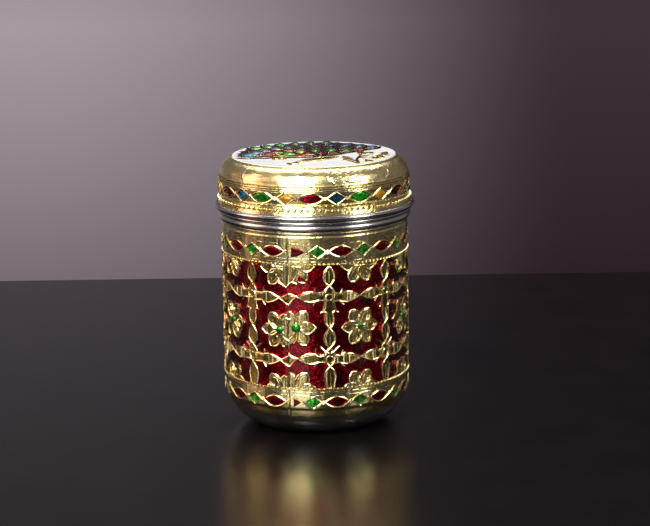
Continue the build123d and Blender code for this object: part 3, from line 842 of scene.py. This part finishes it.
def bead_mesh(width, height, depth, lean, sides=8):
    """A small dome for a wall, width along it and height up it, leaning sideways."""
    turns = [math.tau * n / sides for n in range(sides)]
    rings = []
    for share, out in ((1.0, -0.1 * MM), (0.92, depth * 0.45), (0.55, depth * 0.9)):
        wide, tall = width / 2 * share, height / 2 * share
        flat = [turned(wide * math.cos(t), tall * math.sin(t), lean) for t in turns]
        rings.append([(x, -out, z) for x, z in flat])
    return stacked(rings, (0, -depth, 0))


def lifted(mesh, z):
    """A mesh, moved up the wall to a height."""
    mesh.transform(Matrix.Translation((0, 0, z)))
    return mesh


rim_gap = 0.5 * MM
rule_count = 36


def row_rims(row, degree, past, sizes=cell_sizes):
    """The rims of a border row as pairs of (lines, places): diamonds first, then pointed ovals."""
    row_z, first, step = row
    (diamond_l, diamond_w), (oval_l, oval_w) = sizes
    rims = []
    for kind, lines in enumerate((
        diamond_lines(diamond_l + rim_gap, diamond_w + rim_gap, past),
        lens_lines(oval_l + rim_gap, oval_w + rim_gap, past),
    )):
        start = (first + kind * step) * degree
        places = {"Copies": cell_count // 2, "Pitch": 2 * step * degree, "Start": start}
        rims.append((placed(lines, 0, row_z), places))
    return rims


def ruled(heights, degree):
    """Level lines round a wall, as one short stretch of them and its places."""
    step = 360 / rule_count * degree
    lines = [[(-step / 2, z), (0, z), (step / 2, z)] for z in heights]
    return drawing(lines), {"Copies": rule_count, "Pitch": step, "Start": 0.0}


line_gaps = (1.6 * MM, 2.8 * MM)
line_heights = [window_low_z - gap for gap in line_gaps] + [window_high_z + gap for gap in line_gaps]
jar_rules, round_jar = ruled(line_heights + [upper_row[0] + 2.9 * MM], degree_u)
rim = dict(ridge, Wire_radius=0.31 * MM, Height=0.40 * MM, Wobble=0.25 * MM)
rule = dict(ridge, Wire_radius=0.2 * MM, Height=0.22 * MM)
borders = [baked(jar_rules, wire_tree, "rules", pressed_foil, **round_jar, **rule, **on_jar)]
for row in (upper_row, lower_row):
    for lines, places in row_rims(row, degree_u, 0.7 * MM):
        borders.append(baked(drawing(lines), wire_tree, "rims", pressed_foil, **places, **rim, **on_jar))
bead_count = 132
for bead_z in (window_low_z - 0.5 * MM, window_high_z + 0.5 * MM):
    bead = lifted(bead_mesh(1.1 * MM, 1.0 * MM, 0.45 * MM, 20, 6), bead_z)
    places = {"Copies": bead_count, "Pitch": 360 * degree_u / bead_count, "Start": 0.0, "Height": 0.5 * MM}
    borders.append(baked(bead, pattern_tree, "beads", pressed_foil, **places, **on_jar))
settled(joined(borders, "sleeve_borders"), "jar", "gold_foil")


# Red ground: clear red lacquer, brushed over the foil in the windows of the lattice. It is thin, glossy
# and glittery, and it climbs a little where it meets the gold.
def lacquer_material(name, dark, bright, flakes=1500.0, coat=0.5, metal=1.0):
    """Clear coloured lacquer over foil: deep colour, its flakes painted bright and dark as glints, with
    random dark patches of painted shade, under a smooth glossy coat.
    """
    look = {"Coat_Weight": coat, "Coat_Roughness": 0.04, "Roughness": 0.22}
    material, tree, shader = new_material(name, Metallic=metal, **look)
    place = object_place(tree)
    flake = add(tree, "ShaderNodeTexVoronoi", {"Vector": place, "Scale": flakes})
    pick = add(tree, "ShaderNodeSeparateColor", {"Color": flake["Color"]})
    # The flakes are painted light and dark at random, as glints.
    glint_flakes = ramp(tree, pick["Red"], [(0.35, dark), (0.95, bright)])
    # Random dark patches: painted shade that stands in for dark reflections.
    depth = ramp(tree, noise(tree, 110.0, 3.0, place), [(0.36, 0.3), (0.62, 1.0)])
    tree.links.new(mixed(tree, 1.0, glint_flakes, depth, "MULTIPLY"), shader.inputs["Base Color"])
    bumped(tree, shader, noise(tree, flakes * 0.8, 2.0, place), 0.2 * MM)
    return material


red_lacquer = lacquer_material("red_lacquer", (0.07, 0.0, 0.003), (0.58, 0.002, 0.014), 2600.0, 0.25)
ground_depth = 0.16 * MM


def pooled(turn, r, z):
    """The lacquer's surface: a thin pool, higher where it climbs the sides of the gold."""
    u = turn * foil_r
    climb = np.clip(1 + lattice_depth(u, z) / (0.8 * MM), 0, 1) ** 2
    swell = 0.14 * MM * climb + 0.03 * MM * waviness(u, z, 31, 4 * MM)
    return np.where(r > foil_r, r + swell, r), z, 0 * r


ground_low = window_low_z - 0.3 * MM
ground_high = window_high_z + 0.3 * MM
ground_section = [(foil_r - 0.05 * MM, ground_low)]
ground_section += [(foil_r + ground_depth, z) for z in np.linspace(ground_low, ground_high, 110)]
ground_section += [(foil_r - 0.05 * MM, ground_high)]
red_ground = lathe("red_ground", ground_section, red_lacquer, 420, pooled)
settled(red_ground, "jar", "red_lacquer", "jar_red_ground")


# Cells of the sleeve's borders and the dots in its flowers: drops of red and green lacquer, each
# filling its own pressed rim with a slightly domed surface.
def pillow(outline, height, sharp=False, edge=0.12 * MM):
    """A domed drop for a wall, from its outline. Sharp ones rise straight to a peak, others swell."""
    rings = [[(x, 0.12 * MM, z) for x, z in outline]]
    for scale in (1.0, 0.88, 0.7, 0.48, 0.24):
        rise = 1 - scale if sharp else math.sqrt(1 - scale**2 * 0.999)
        rings.append([(x * scale, -(edge + height * rise), z * scale) for x, z in outline])
    return stacked(rings, (0, -(edge + height), 0))


def lens_outline(length, width, steps=12):
    """Points round a pointed oval, counter-clockwise."""
    xs = np.linspace(-length / 2, length / 2, steps + 1)
    low = [(x, -width / 2 * (1 - (2 * x / length) ** 2)) for x in xs]
    return low[:-1] + [(-x, -z) for x, z in low[:-1]]


def diamond_outline(length, width):
    """Points round a diamond, four to a side, counter-clockwise."""
    corners = [(-length / 2, 0), (0, -width / 2), (length / 2, 0), (0, width / 2)]
    points = []
    for (x0, z0), (x1, z1) in zip(corners, corners[1:] + corners[:1]):
        points += [(x0 + (x1 - x0) * n / 4, z0 + (z1 - z0) * n / 4) for n in range(4)]
    return points


def round_outline(radius, steps=20):
    """Points round a circle, counter-clockwise."""
    turns = np.linspace(0, math.tau, steps, endpoint=False)
    return [(radius * math.cos(t), radius * math.sin(t)) for t in turns]


def row_drops(row_z, sizes=cell_sizes):
    """The drops of a border row: the diamond's, then the pointed oval's."""
    diamond = pillow(diamond_outline(*sizes[0]), 0.26 * MM, sharp=True)
    return lifted(diamond, row_z), lifted(pillow(lens_outline(*sizes[1]), 0.24 * MM), row_z)


green_lacquer = lacquer_material("green_lacquer", (0.008, 0.16, 0.006), (0.05, 0.52, 0.03), metal=0.7)
red_drops = []
green_drops = []
for row_z, first, step in (upper_row, lower_row):
    kinds = ((green_lacquer, green_drops), (red_lacquer, red_drops))
    for kind, (drop, (material, drops)) in enumerate(zip(row_drops(row_z), kinds)):
        start = (first + kind * step) * degree_u
        places = {"Pitch": 2 * step * degree_u, "Start": start, "Height": 0.05 * MM}
        drops.append(baked(drop, pattern_tree, "drops", material, Copies=cell_count // 2, **places, **on_jar))
cut_cells = ((-13.4, upper_row[0]), (-16.7, lower_row[0]))
for cut_deg, row_z in cut_cells:
    low_x = (seam_deg - cut_deg) * degree_u + 1.3 * MM
    outline = [(max(x, low_x), z) for x, z in lens_outline(*cell_sizes[1], 24) if x > low_x - 0.3 * MM]
    middle_x = (low_x + cell_sizes[1][0] / 2) / 2
    drop = lifted(pillow([(x - middle_x, z) for x, z in outline], 0.2 * MM), row_z)
    cut = {"Copies": 1, "Start": cut_deg * degree_u + middle_x, "Height": 0.3 * MM}
    red_drops.append(baked(drop, pattern_tree, "drops", red_lacquer, **cut, **on_jar))
stray_deg = -8.0
stray_z = 58.2 * MM
stray = pillow([(-1.3 * MM, 1.6 * MM), (-1.4 * MM, -0.4 * MM), (2.5 * MM, -1.2 * MM)], 0.15 * MM)
stray_at = {"Copies": 1, "Start": stray_deg * degree_u, "Height": 0.85 * MM}
red_drops.append(baked(lifted(stray, stray_z), pattern_tree, "drops", red_lacquer, **stray_at, **on_jar))
settled(joined(red_drops, "red_cells"), "jar", "red_lacquer", "jar_red_cells")
settled(joined(green_drops, "green_cells"), "jar", "green_lacquer", "jar_green_cells")

dots = []
for radius, count, start, lift in (
    (1.25 * MM, panel_count, panels["Start"], 0.0),
    (1.35 * MM, 1, seam_deg * degree_u + seam_flowers[0][0], seam_flowers[0][1]),
    (1.6 * MM, 1, seam_deg * degree_u + seam_flowers[1][0], seam_flowers[1][1]),
):
    drop = lifted(pillow(round_outline(radius), 0.45 * MM, edge=0.62 * MM), flower_z + lift)
    places = {"Copies": count, "Pitch": 2 * half_panel, "Start": start, "Height": 0.1 * MM}
    dots.append(baked(drop, pattern_tree, "dots", green_lacquer, **places, **on_jar))
settled(joined(dots, "flower_dots"), "jar", "green_lacquer", "jar_flower_dots")


# The steel lid: a shallow drawn cap with a rounded shoulder, whose skirt flares into a rolled rim. It
# slides over the cup's neck down to the folded stop.
lid_in_r = jar_r + 0.3 * MM
lid_out_r = lid_in_r + sheet_t
lid_flare = 1.0 * MM
curl_r = 0.95 * MM
shoulder_r = 5.6 * MM
lid_top_z = lid_high.z
curl_z = lid_low.z + curl_r
curl_mid_r = lid_high.x - curl_r
flare_top_z = curl_z + 4.5 * MM
shoulder_z = lid_top_z - shoulder_r
lid_flat_r = lid_out_r - shoulder_r


def flare(z):
    """How far the skirt stands out at a height, on its way down to the rolled rim."""
    t = np.clip((flare_top_z - z) / (flare_top_z - curl_z), 0, 1)
    return lid_flare * t**2 * (3 - 2 * t)


flare_heights = np.linspace(flare_top_z, curl_z, 13)
cap_section = [(0, lid_top_z - sheet_t)]
cap_section += arc(lid_flat_r, shoulder_z, shoulder_r - sheet_t, 90, 0, 16)
cap_section += [(lid_in_r + flare(z), z) for z in flare_heights]
cap_section += arc(curl_mid_r, curl_z, curl_r, 180, 472, 28)[1:]
cap_section += arc(curl_mid_r, curl_z, curl_r - sheet_t, 472, 180, 20)
cap_section += [(lid_out_r + flare(z), z) for z in flare_heights[::-1][1:]]
cap_section += arc(lid_flat_r, shoulder_z, shoulder_r, 0, 90, 16)
cap_section += [(0, lid_top_z)]
settled(lathe("steel_lid", cap_section, steel), "lid", "steel", "lid_cap")


# The lid's top foil: plain bright foil worked down over the shoulder by hand, so it is crinkled and
# creased. Its edge is a wavy double line above the border, and it has a raised rim round the white.
white_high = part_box("lid_white_ground")[1]
white_r = white_high.x
foil_top_z = lid_top_z + foil_t
# The top foil's colours: bright tone, darker random patches, and a dark colour of painted shade.
smooth_gold = ((0.90, 0.78, 0.42), (0.72, 0.58, 0.25), (0.34, 0.25, 0.08))
smooth_foil = foil_material("smooth_gold_foil", *smooth_gold, dull=0.38, bright=0.18)
creases = ((9.5, 14, 0.35), (52, -20, 0.2), (-48, 10, 0.22), (131, 18, 0.3), (214, -12, 0.25))


def crinkled(turn, r, z):
    """The worked surface of the lid's top foil."""
    u = turn * lid_out_r
    degrees = (np.degrees(turn) + 180) % 360 - 180
    below = np.clip((foil_top_z - z) / (shoulder_r + foil_t), 0, 1)
    rough = 0.2 + 0.5 * np.clip(waviness(u, z * 0, 41, 34 * MM), 0, 1)
    rough = np.maximum(rough, np.exp(-(((degrees - 20) / 14) ** 2)))
    rise = waviness(u * 0.3, z * 1.4, 42, 2.6 * MM) * 0.04 * MM + waviness(u, z, 43, 9 * MM) * 0.05 * MM
    rise += waviness(u, z * 1.8, 44, 1.8 * MM) * 0.07 * MM * rough**2
    fade = np.clip(below * 3, 0, 1) * np.clip((1 - below) * 3, 0, 1)
    for middle, bend, tall in creases:
        line = (degrees - middle + 180) % 360 - 180 - bend * (below - 0.45) ** 2
        rise += tall * MM * np.exp(-((line / 0.55) ** 2)) * fade
    rise *= np.clip((r - white_r - 0.4 * MM) / MM, 0, 1)
    rise += 0.5 * MM * np.exp(-(((r - white_r - 0.35 * MM) / (0.38 * MM)) ** 2))
    edge = np.exp(-(((z - shoulder_z - 0.3 * MM * waviness(u, 0 * z, 46, 12 * MM)) / (0.3 * MM)) ** 2))
    rise += 0.22 * MM * edge
    outer = (r - lid_flat_r) ** 2 + np.clip(z - shoulder_z, 0, None) ** 2 > (shoulder_r + 0.1 * MM) ** 2
    outer &= r > lid_flat_r
    outer |= (r <= lid_flat_r) & (z > lid_top_z + 0.1 * MM)
    rise = np.where(outer, rise, 0)
    slope = np.arctan2(np.clip(z - shoulder_z, 0, None), r - lid_flat_r)
    slope = np.where(r > lid_flat_r, slope, math.pi / 2)
    low_edge = (z < shoulder_z - 0.1 * MM) * waviness(u, 0 * z, 47, 10 * MM) * 0.25 * MM
    tone_and_shade = np.clip(waviness(u, z, 48, 3 * MM) * 0.25 * rough + 0.12 + 0.25 * edge, 0, 1)
    return r + rise * np.cos(slope), z + rise * np.sin(slope) + low_edge, tone_and_shade


edge_z = shoulder_z - 0.5 * MM
skin = 0.02 * MM
top_section = [(0, lid_top_z + skin), (lid_flat_r * 0.6, lid_top_z + skin)]
top_section += arc(lid_flat_r, shoulder_z, shoulder_r + skin, 90, 0, 10)
top_section += [(lid_out_r + skin, edge_z), (lid_out_r + foil_t, edge_z)]
top_section += arc(lid_flat_r, shoulder_z, shoulder_r + foil_t, 0, 90, 40)
top_section += [(lid_flat_r * 0.6, foil_top_z), (0, foil_top_z)]
top_foil = lathe("lid_top_foil", top_section, smooth_foil, 720, crinkled)
settled(top_foil, "lid", "gold_foil", "lid_top_foil")


# The lid's border: a pressed foil strip round the side, with a row of rimmed cells, ruled lines and a
# roped line of slanted beads above the rolled rim.
lid_foil_r = lid_out_r + foil_t
lid_degree = math.radians(1) * lid_foil_r
lid_cell_step = 15.0
lid_front_cell_deg = -1.9
lid_row = (shoulder_z - 4.2 * MM, lid_front_cell_deg - 3 * lid_cell_step, lid_cell_step)
lid_sizes = ((6.2 * MM, 4.2 * MM), (8.5 * MM, 3.4 * MM))
rope_z = lid_low.z + 3.7 * MM
band_low_z = lid_row[0] - 2.3 * MM
band_high_z = lid_row[0] + 2.7 * MM
strip_low_z = curl_z + curl_r + 0.1 * MM
on_lid = {"Wall_radius": lid_foil_r}


def pressed_strip(turn, r, z):
    """The strip's surface: a raised band whose cells are sunk, over the skirt's flare."""
    u = turn * lid_foil_r
    band = np.clip((z - band_low_z) / (0.4 * MM), 0, 1) * np.clip((band_high_z - z) / (0.4 * MM), 0, 1)
    sunk = np.clip(0.6 + row_depth(u, z, lid_row, lid_degree, lid_sizes) / (0.4 * MM), 0, 1)
    rise = band * (1 - sunk) * 0.34 * MM + waviness(u, z, 51, 1.4 * MM) * 0.02 * MM
    rise += waviness(u, z, 52, 7 * MM) * 0.04 * MM
    outer = r > lid_out_r + flare(z) + 0.1 * MM
    # Colour mark: the sunk cells are darkened as painted shade, over random tone.
    tone_and_shade = np.clip(waviness(u, z, 53, 2.2 * MM) * 0.3 + 0.2 + 0.3 * sunk, 0, 1)
    return np.where(outer, r + rise, r), z, tone_and_shade


strip_heights = np.linspace(strip_low_z, edge_z, 34)
strip_section = [(lid_out_r + flare(z) + skin, z) for z in strip_heights[::-3]]
strip_section += [(lid_foil_r + flare(z), z) for z in strip_heights]
strip_parts = [lathe("lid_border", strip_section, pressed_foil, 600, pressed_strip)]
lid_rim = dict(rim, Height=0.36 * MM)
for lines, places in row_rims(lid_row, lid_degree, 0.6 * MM, lid_sizes):
    strip_parts.append(baked(drawing(lines), wire_tree, "rims", pressed_foil, **places, **lid_rim, **on_lid))
lid_rules, round_lid = ruled((band_low_z, band_high_z, band_high_z + 0.7 * MM), lid_degree)
strip_parts.append(baked(lid_rules, wire_tree, "rules", pressed_foil, **round_lid, **lid_rim, **on_lid))
rope_count = 96
bead = lifted(bead_mesh(1.45 * MM, 1.05 * MM, 0.95 * MM, 32), rope_z)
rope = {"Copies": rope_count, "Pitch": 360 * lid_degree / rope_count, "Start": 0.0}
rope["Height"] = float(flare(rope_z))
strip_parts.append(baked(bead, pattern_tree, "beads", pressed_foil, **rope, **on_lid))
settled(joined(strip_parts, "lid_border"), "lid", "gold_foil", "lid_border_foil")


# The lid's cells: drops of red, blue, green and amber lacquer, each filling its own pressed rim.
blue_lacquer = lacquer_material("blue_lacquer", (0.002, 0.04, 0.10), (0.01, 0.20, 0.38), metal=0.7)
amber_lacquer = lacquer_material("amber_lacquer", (0.95, 0.36, 0.01), (1.0, 0.60, 0.03), metal=0.3)
lid_colours = {"green": green_lacquer, "yellow": amber_lacquer, "red": red_lacquer, "blue": blue_lacquer}
for order, (colour, material) in enumerate(lid_colours.items(), 1):
    drop = row_drops(lid_row[0], lid_sizes)[order % 2]
    start = (lid_row[1] + order * lid_cell_step) * lid_degree
    places = {"Pitch": 4 * lid_cell_step * lid_degree, "Start": start, "Height": 0.03 * MM}
    drops = baked(drop, pattern_tree, f"lid_{colour}", material, Copies=6, **places, **on_lid)
    settled(drops, "lid", f"{colour}_lacquer", f"lid_{colour}_cells")


# The white ground: opaque white lacquer, poured level inside the raised rim on top of the lid.
white_look = {"Coat_Weight": 0.6, "Coat_Roughness": 0.06, "Roughness": 0.35}
white_lacquer, tree, shader = new_material("white_lacquer", **white_look)
cloud = noise(tree, 120.0, 5.0)
tones = [(0.35, (0.76, 0.79, 0.78)), (0.65, (0.86, 0.88, 0.87))]
tree.links.new(ramp(tree, cloud, tones), shader.inputs["Base Color"])
bumped(tree, shader, cloud, 0.1 * MM, 0.5)


def poured(turn, r, z):
    """The white ground's gently uneven surface, drawn up a little against its rim."""
    x, y = r * np.sin(turn), r * np.cos(turn)
    lift = waviness(x, y, 61, 14 * MM) * 0.03 * MM
    lift += 0.06 * MM * np.clip((r - white_r + 1.2 * MM) / (1.2 * MM), 0, 1)
    return r, np.where(z > foil_top_z + 0.1 * MM, z + lift, z), 0 * r


white_section = [(0, foil_top_z - 0.02 * MM), (white_r, foil_top_z - 0.4 * MM)]
white_section += [(r, white_high.z) for r in np.linspace(white_r, 0, 14)]
white_ground = lathe("white_ground", white_section, white_lacquer, 180, poured)
settled(white_ground, "lid", "white_lacquer", "lid_white_ground")


# The peacock's tail: a fan of dark maroon lacquer feathers laid over each other on the white ground, with
# a domed eye of green, blue or red lacquer in each, in rows about the tail's root.
tail_root = (3.5 * MM, -8.0 * MM)
tail_from, tail_to = 42, 185
tail_colours = ("red", "green", "red", "blue", "green")
tail_first_r = 8.5 * MM
tail_row_step = 6.0 * MM
tail_eye_step = 5.6 * MM
eye_l = 5.0 * MM
eye_w = 2.6 * MM
eye_margin = 3.3 * MM
fan_margin = 2.6 * MM
fan_longest = 34.0 * MM
fan_point = 1.5 * MM
feather_rise = 0.16 * MM
eye_rise = 0.14 * MM
row_fall = 0.02 * MM
ground_z = white_high.z


def lid_tree(name, sweep):
    """A tree that sets out a flat piece at each point of another object, turned as the point says."""
    tree, given = started_tree(name, Object=["Places"], Float=("Wire radius", "Wobble"), Int=["Sides"])
    points = add(tree, "GeometryNodeObjectInfo", {"Object": given["Places"]})["Geometry"]
    turn = add(tree, "GeometryNodeInputNamedAttribute", {"Name": "turn"}, data_type="FLOAT")["Attribute"]
    spin = add(tree, "ShaderNodeCombineXYZ", {"Z": turn})["Vector"]
    shape = repeated(tree, given, sweep, 0.4 * MM, Points=points, Rotation=spin)
    return ended_tree(tree, given, shape)


lid_piece_tree = lid_tree("pieces_on_lid", sweep=False)
lid_wire_tree = lid_tree("wires_on_lid", sweep=True)


def set_out(mesh, tree, name, material, places, **values):
    """A drawing laid down flat on the lid and set out at places of (x, y, z, degrees)."""
    mesh.transform(Matrix.Rotation(math.radians(-90), 4, "X"))
    points = bpy.data.meshes.new("places")
    points.from_pydata([place[:3] for place in places], [], [])
    turns = points.attributes.new("turn", "FLOAT", "POINT")
    turns.data.foreach_set("value", [math.radians(place[3]) for place in places])
    holder = bpy.data.objects.new("places", points)
    scene.collection.objects.link(holder)
    made = baked(mesh, tree, name, material, Places=holder, **values)
    bpy.data.objects.remove(holder)
    return made


def lid_drops(name, outline, height, material, places):
    """Domed drops of one outline, laid flat on the lid."""
    return set_out(pillow(outline, height, edge=0.02 * MM), lid_piece_tree, name, material, places)


def lid_wires(name, lines, material, places, size):
    """Wires of one drawing, laid flat on the lid."""
    return set_out(drawing(lines), lid_wire_tree, name, material, places, **size)


picker = random.Random(7)
eye_places = {"red": [], "green": [], "blue": []}
feather_places = []
for row, colour in enumerate(tail_colours):
    radius = tail_first_r + row * tail_row_step
    count = round(math.radians(tail_to - tail_from) * radius / tail_eye_step)
    for n in range(count):
        degrees = tail_from + (n + 0.5) * (tail_to - tail_from) / count
        x = tail_root[0] + radius * math.cos(math.radians(degrees))
        y = tail_root[1] + radius * math.sin(math.radians(degrees))
        if math.hypot(x, y) < white_r - eye_margin:
            lean = degrees + picker.uniform(-7, 7)
            level = ground_z + feather_rise - row * row_fall
            feather_places.append((x, y, level, lean))
            eye_places[colour].append((x, y, level + eye_rise, lean))

maroon_lacquer = lacquer_material("maroon_lacquer", (0.05, 0.010, 0.022), (0.20, 0.035, 0.07), 900.0, 0.1)
fan = [tail_root]
for degrees in range(tail_from, tail_to + 1, 3):
    aim_x, aim_y = math.cos(math.radians(degrees)), math.sin(math.radians(degrees))
    reach = fan_longest
    while math.hypot(tail_root[0] + reach * aim_x, tail_root[1] + reach * aim_y) > white_r - fan_margin:
        reach -= 0.25 * MM
    reach += fan_point if degrees % 9 == 0 else 0.0
    fan.append((tail_root[0] + reach * aim_x, tail_root[1] + reach * aim_y))
fan_count = len(fan)
fan_mesh = bpy.data.meshes.new("fan")
fan_points = [(x, y, ground_z + level) for level in (-0.05 * MM, 0.15 * MM) for x, y in fan]
fan_faces = [tuple(range(fan_count - 1, -1, -1)), tuple(range(fan_count, 2 * fan_count))]
for n in range(fan_count):
    beside = (n + 1) % fan_count
    fan_faces.append((n, beside, fan_count + beside, fan_count + n))
fan_mesh.from_pydata(fan_points, [], fan_faces)
plumes = [
    link("fan", fan_mesh, maroon_lacquer),
    lid_drops("feathers", lens_outline(9.4 * MM, 5.0 * MM), 0.16 * MM, maroon_lacquer, feather_places),
]
settled(joined(plumes, "peacock_tail"), "lid", "maroon_lacquer", "peacock_plumes")
eye = lens_outline(eye_l * 1.12, eye_w * 1.12)
eye_h = 0.6 * MM
for colour, material in (("green", green_lacquer), ("blue", blue_lacquer)):
    eyes = lid_drops(f"{colour}_eyes", eye, eye_h, material, eye_places[colour])
    settled(eyes, "lid", f"{colour}_lacquer", f"peacock_{colour}_eyes")
bud_at = (11.4 * MM, -9.8 * MM)
bud_turn = 115
bud_places = [(*bud_at, ground_z, bud_turn)]
red_eyes = [
    lid_drops("red_eyes", eye, eye_h, red_lacquer, eye_places["red"]),
    lid_drops("bud", lens_outline(5.2 * MM, 2.2 * MM), 0.4 * MM, red_lacquer, bud_places),
]
settled(joined(red_eyes, "red_eyes"), "lid", "red_lacquer", "peacock_red_eyes")


# The peacock's gold: thin wires of foil round each feather eye, its body and neck, and a leafy branch
# beside it. They are pressed up from the lid's foil and stand just above the lacquer.
wire = {"Wire_radius": 0.21 * MM, "Wobble": 0.4 * MM, "Sides": 6}
thin_wire = {"Wire_radius": 0.13 * MM, "Wobble": 0.2 * MM, "Sides": 5}
dull_foil = foil_material("dull_gold_foil", (0.58, 0.42, 0.17), (0.26, 0.16, 0.05), (0.2, 0.12, 0.04))
ring_places = [(x, y, z - 0.02 * MM, turn) for rows in eye_places.values() for x, y, z, turn in rows]
ring_lines = lens_lines(eye_l + 0.7 * MM, eye_w + 0.6 * MM, 0.2 * MM)
ring_lines += [[(-eye_l * 0.55, 0), (-eye_l * 0.95, 0)]]
body_at = (1.8 * MM, -13.0 * MM)
body_turn = 36
body = lens_outline(17 * MM, 5.2 * MM, 20)
wing = lens_lines(17 * MM, 5.4 * MM, 0.3 * MM)
for x in np.arange(-6.5, 6.5, 1.3):
    tall = 1.9 * (1 - (x / 8.5) ** 2)
    wing += in_mm([[(x, -tall), (x + 1.3, tall)]])
head_at = (-6.5, -22.0)
neck = [(-0.5, -13.5), (-3.5, -16.0), (-5.5, -19.0), head_at]
strokes = [
    neck,
    [(x - 1.3, y - 0.5) for x, y in neck],
    [head_at, (-9.0, -20.5)],
    [head_at, (-9.3, -22.3)],
    [head_at, (-8.6, -24.0)],
    [(-14.5, -11.5), (-12.0, -12.2), (-9.4, -10.6)],
    [(-14.5, -11.5), (-11.8, -10.2), (-9.4, -10.6)],
    [(16.0, -22.5), (15.6, -15.0), (16.6, -8.5), (20.5, -4.5), (24.5, -5.5)],
    [(15.3, -22.3), (14.9, -15.0), (15.8, -8.5), (16.8, -4.0), (17.4, 1.5)],
    [(15.7, -22.4), (15.2, -15.0), (16.2, -8.5), (16.4, -2.0)],
    [(11.0, -14.5), (13.0, -18.0), (15.6, -23.5)],
    [(15.8, -19.0), (13.2, -14.5), (12.4, -12.0)],
    [(16.2, -10.5), (19.5, -10.0), (22.0, -12.0)],
    [(15.7, -15.0), (18.0, -15.5), (19.5, -18.0)],
]


def smoothed(points):
    """A smooth line through a few points."""
    path = np.array([points[0]] + points + [points[-1]])
    line = []
    for a, b, c, d in zip(path, path[1:], path[2:], path[3:]):
        for t in (0.0, 0.25, 0.5, 0.75):
            spread = (c - a) * t + (2 * a - 5 * b + 4 * c - d) * t**2 + (3 * b - a - 3 * c + d) * t**3
            line.append(tuple(b + spread / 2))
    return line + [points[-1]]


stroke_lines = in_mm([smoothed(points) for points in strokes])
leaf_places = [(22.0, -12.0, 300), (19.5, -18.0, 300), (24.5, -5.5, 340), (16.8, 1.2, 80), (12.0, -13.0, 60)]
leaf_places += [(19.5, -0.5, 50), (25.2, -1.5, 75), (23.6, -8.5, 290)]
leaf_places = [(x * MM, y * MM, ground_z + 0.05 * MM, turn) for x, y, turn in leaf_places]
leaf_rim = lens_lines(5.6 * MM, 2.6 * MM, 0.3 * MM)
bud_rim = lens_lines(5.4 * MM, 2.4 * MM, 0.3 * MM)
wire_z = ground_z + 0.12 * MM
head_places = [(head_at[0] * MM, head_at[1] * MM, ground_z, 0)]
peacock = [
    lid_wires("rings", ring_lines, smooth_foil, ring_places, thin_wire),
    lid_drops("body", body, 0.5 * MM, dull_foil, [(*body_at, ground_z, body_turn)]),
    lid_wires("wing", wing, smooth_foil, [(*body_at, ground_z + 0.3 * MM, body_turn)], wire),
    lid_wires("strokes", stroke_lines, dull_foil, [(0.0, 0.0, wire_z, 0.0)], wire),
    lid_drops("leaves", lens_outline(5.4 * MM, 2.4 * MM), 0.3 * MM, dull_foil, leaf_places),
    lid_wires("leaf_rims", leaf_rim, smooth_foil, leaf_places, wire),
    lid_wires("bud_rim", bud_rim, smooth_foil, [(*bud_at, wire_z, bud_turn)], wire),
    lid_drops("head", round_outline(1.5 * MM, 14), 0.45 * MM, smooth_foil, head_places),
]
settled(joined(peacock, "peacock_gold"), "lid", "gold_foil", "peacock_wires")
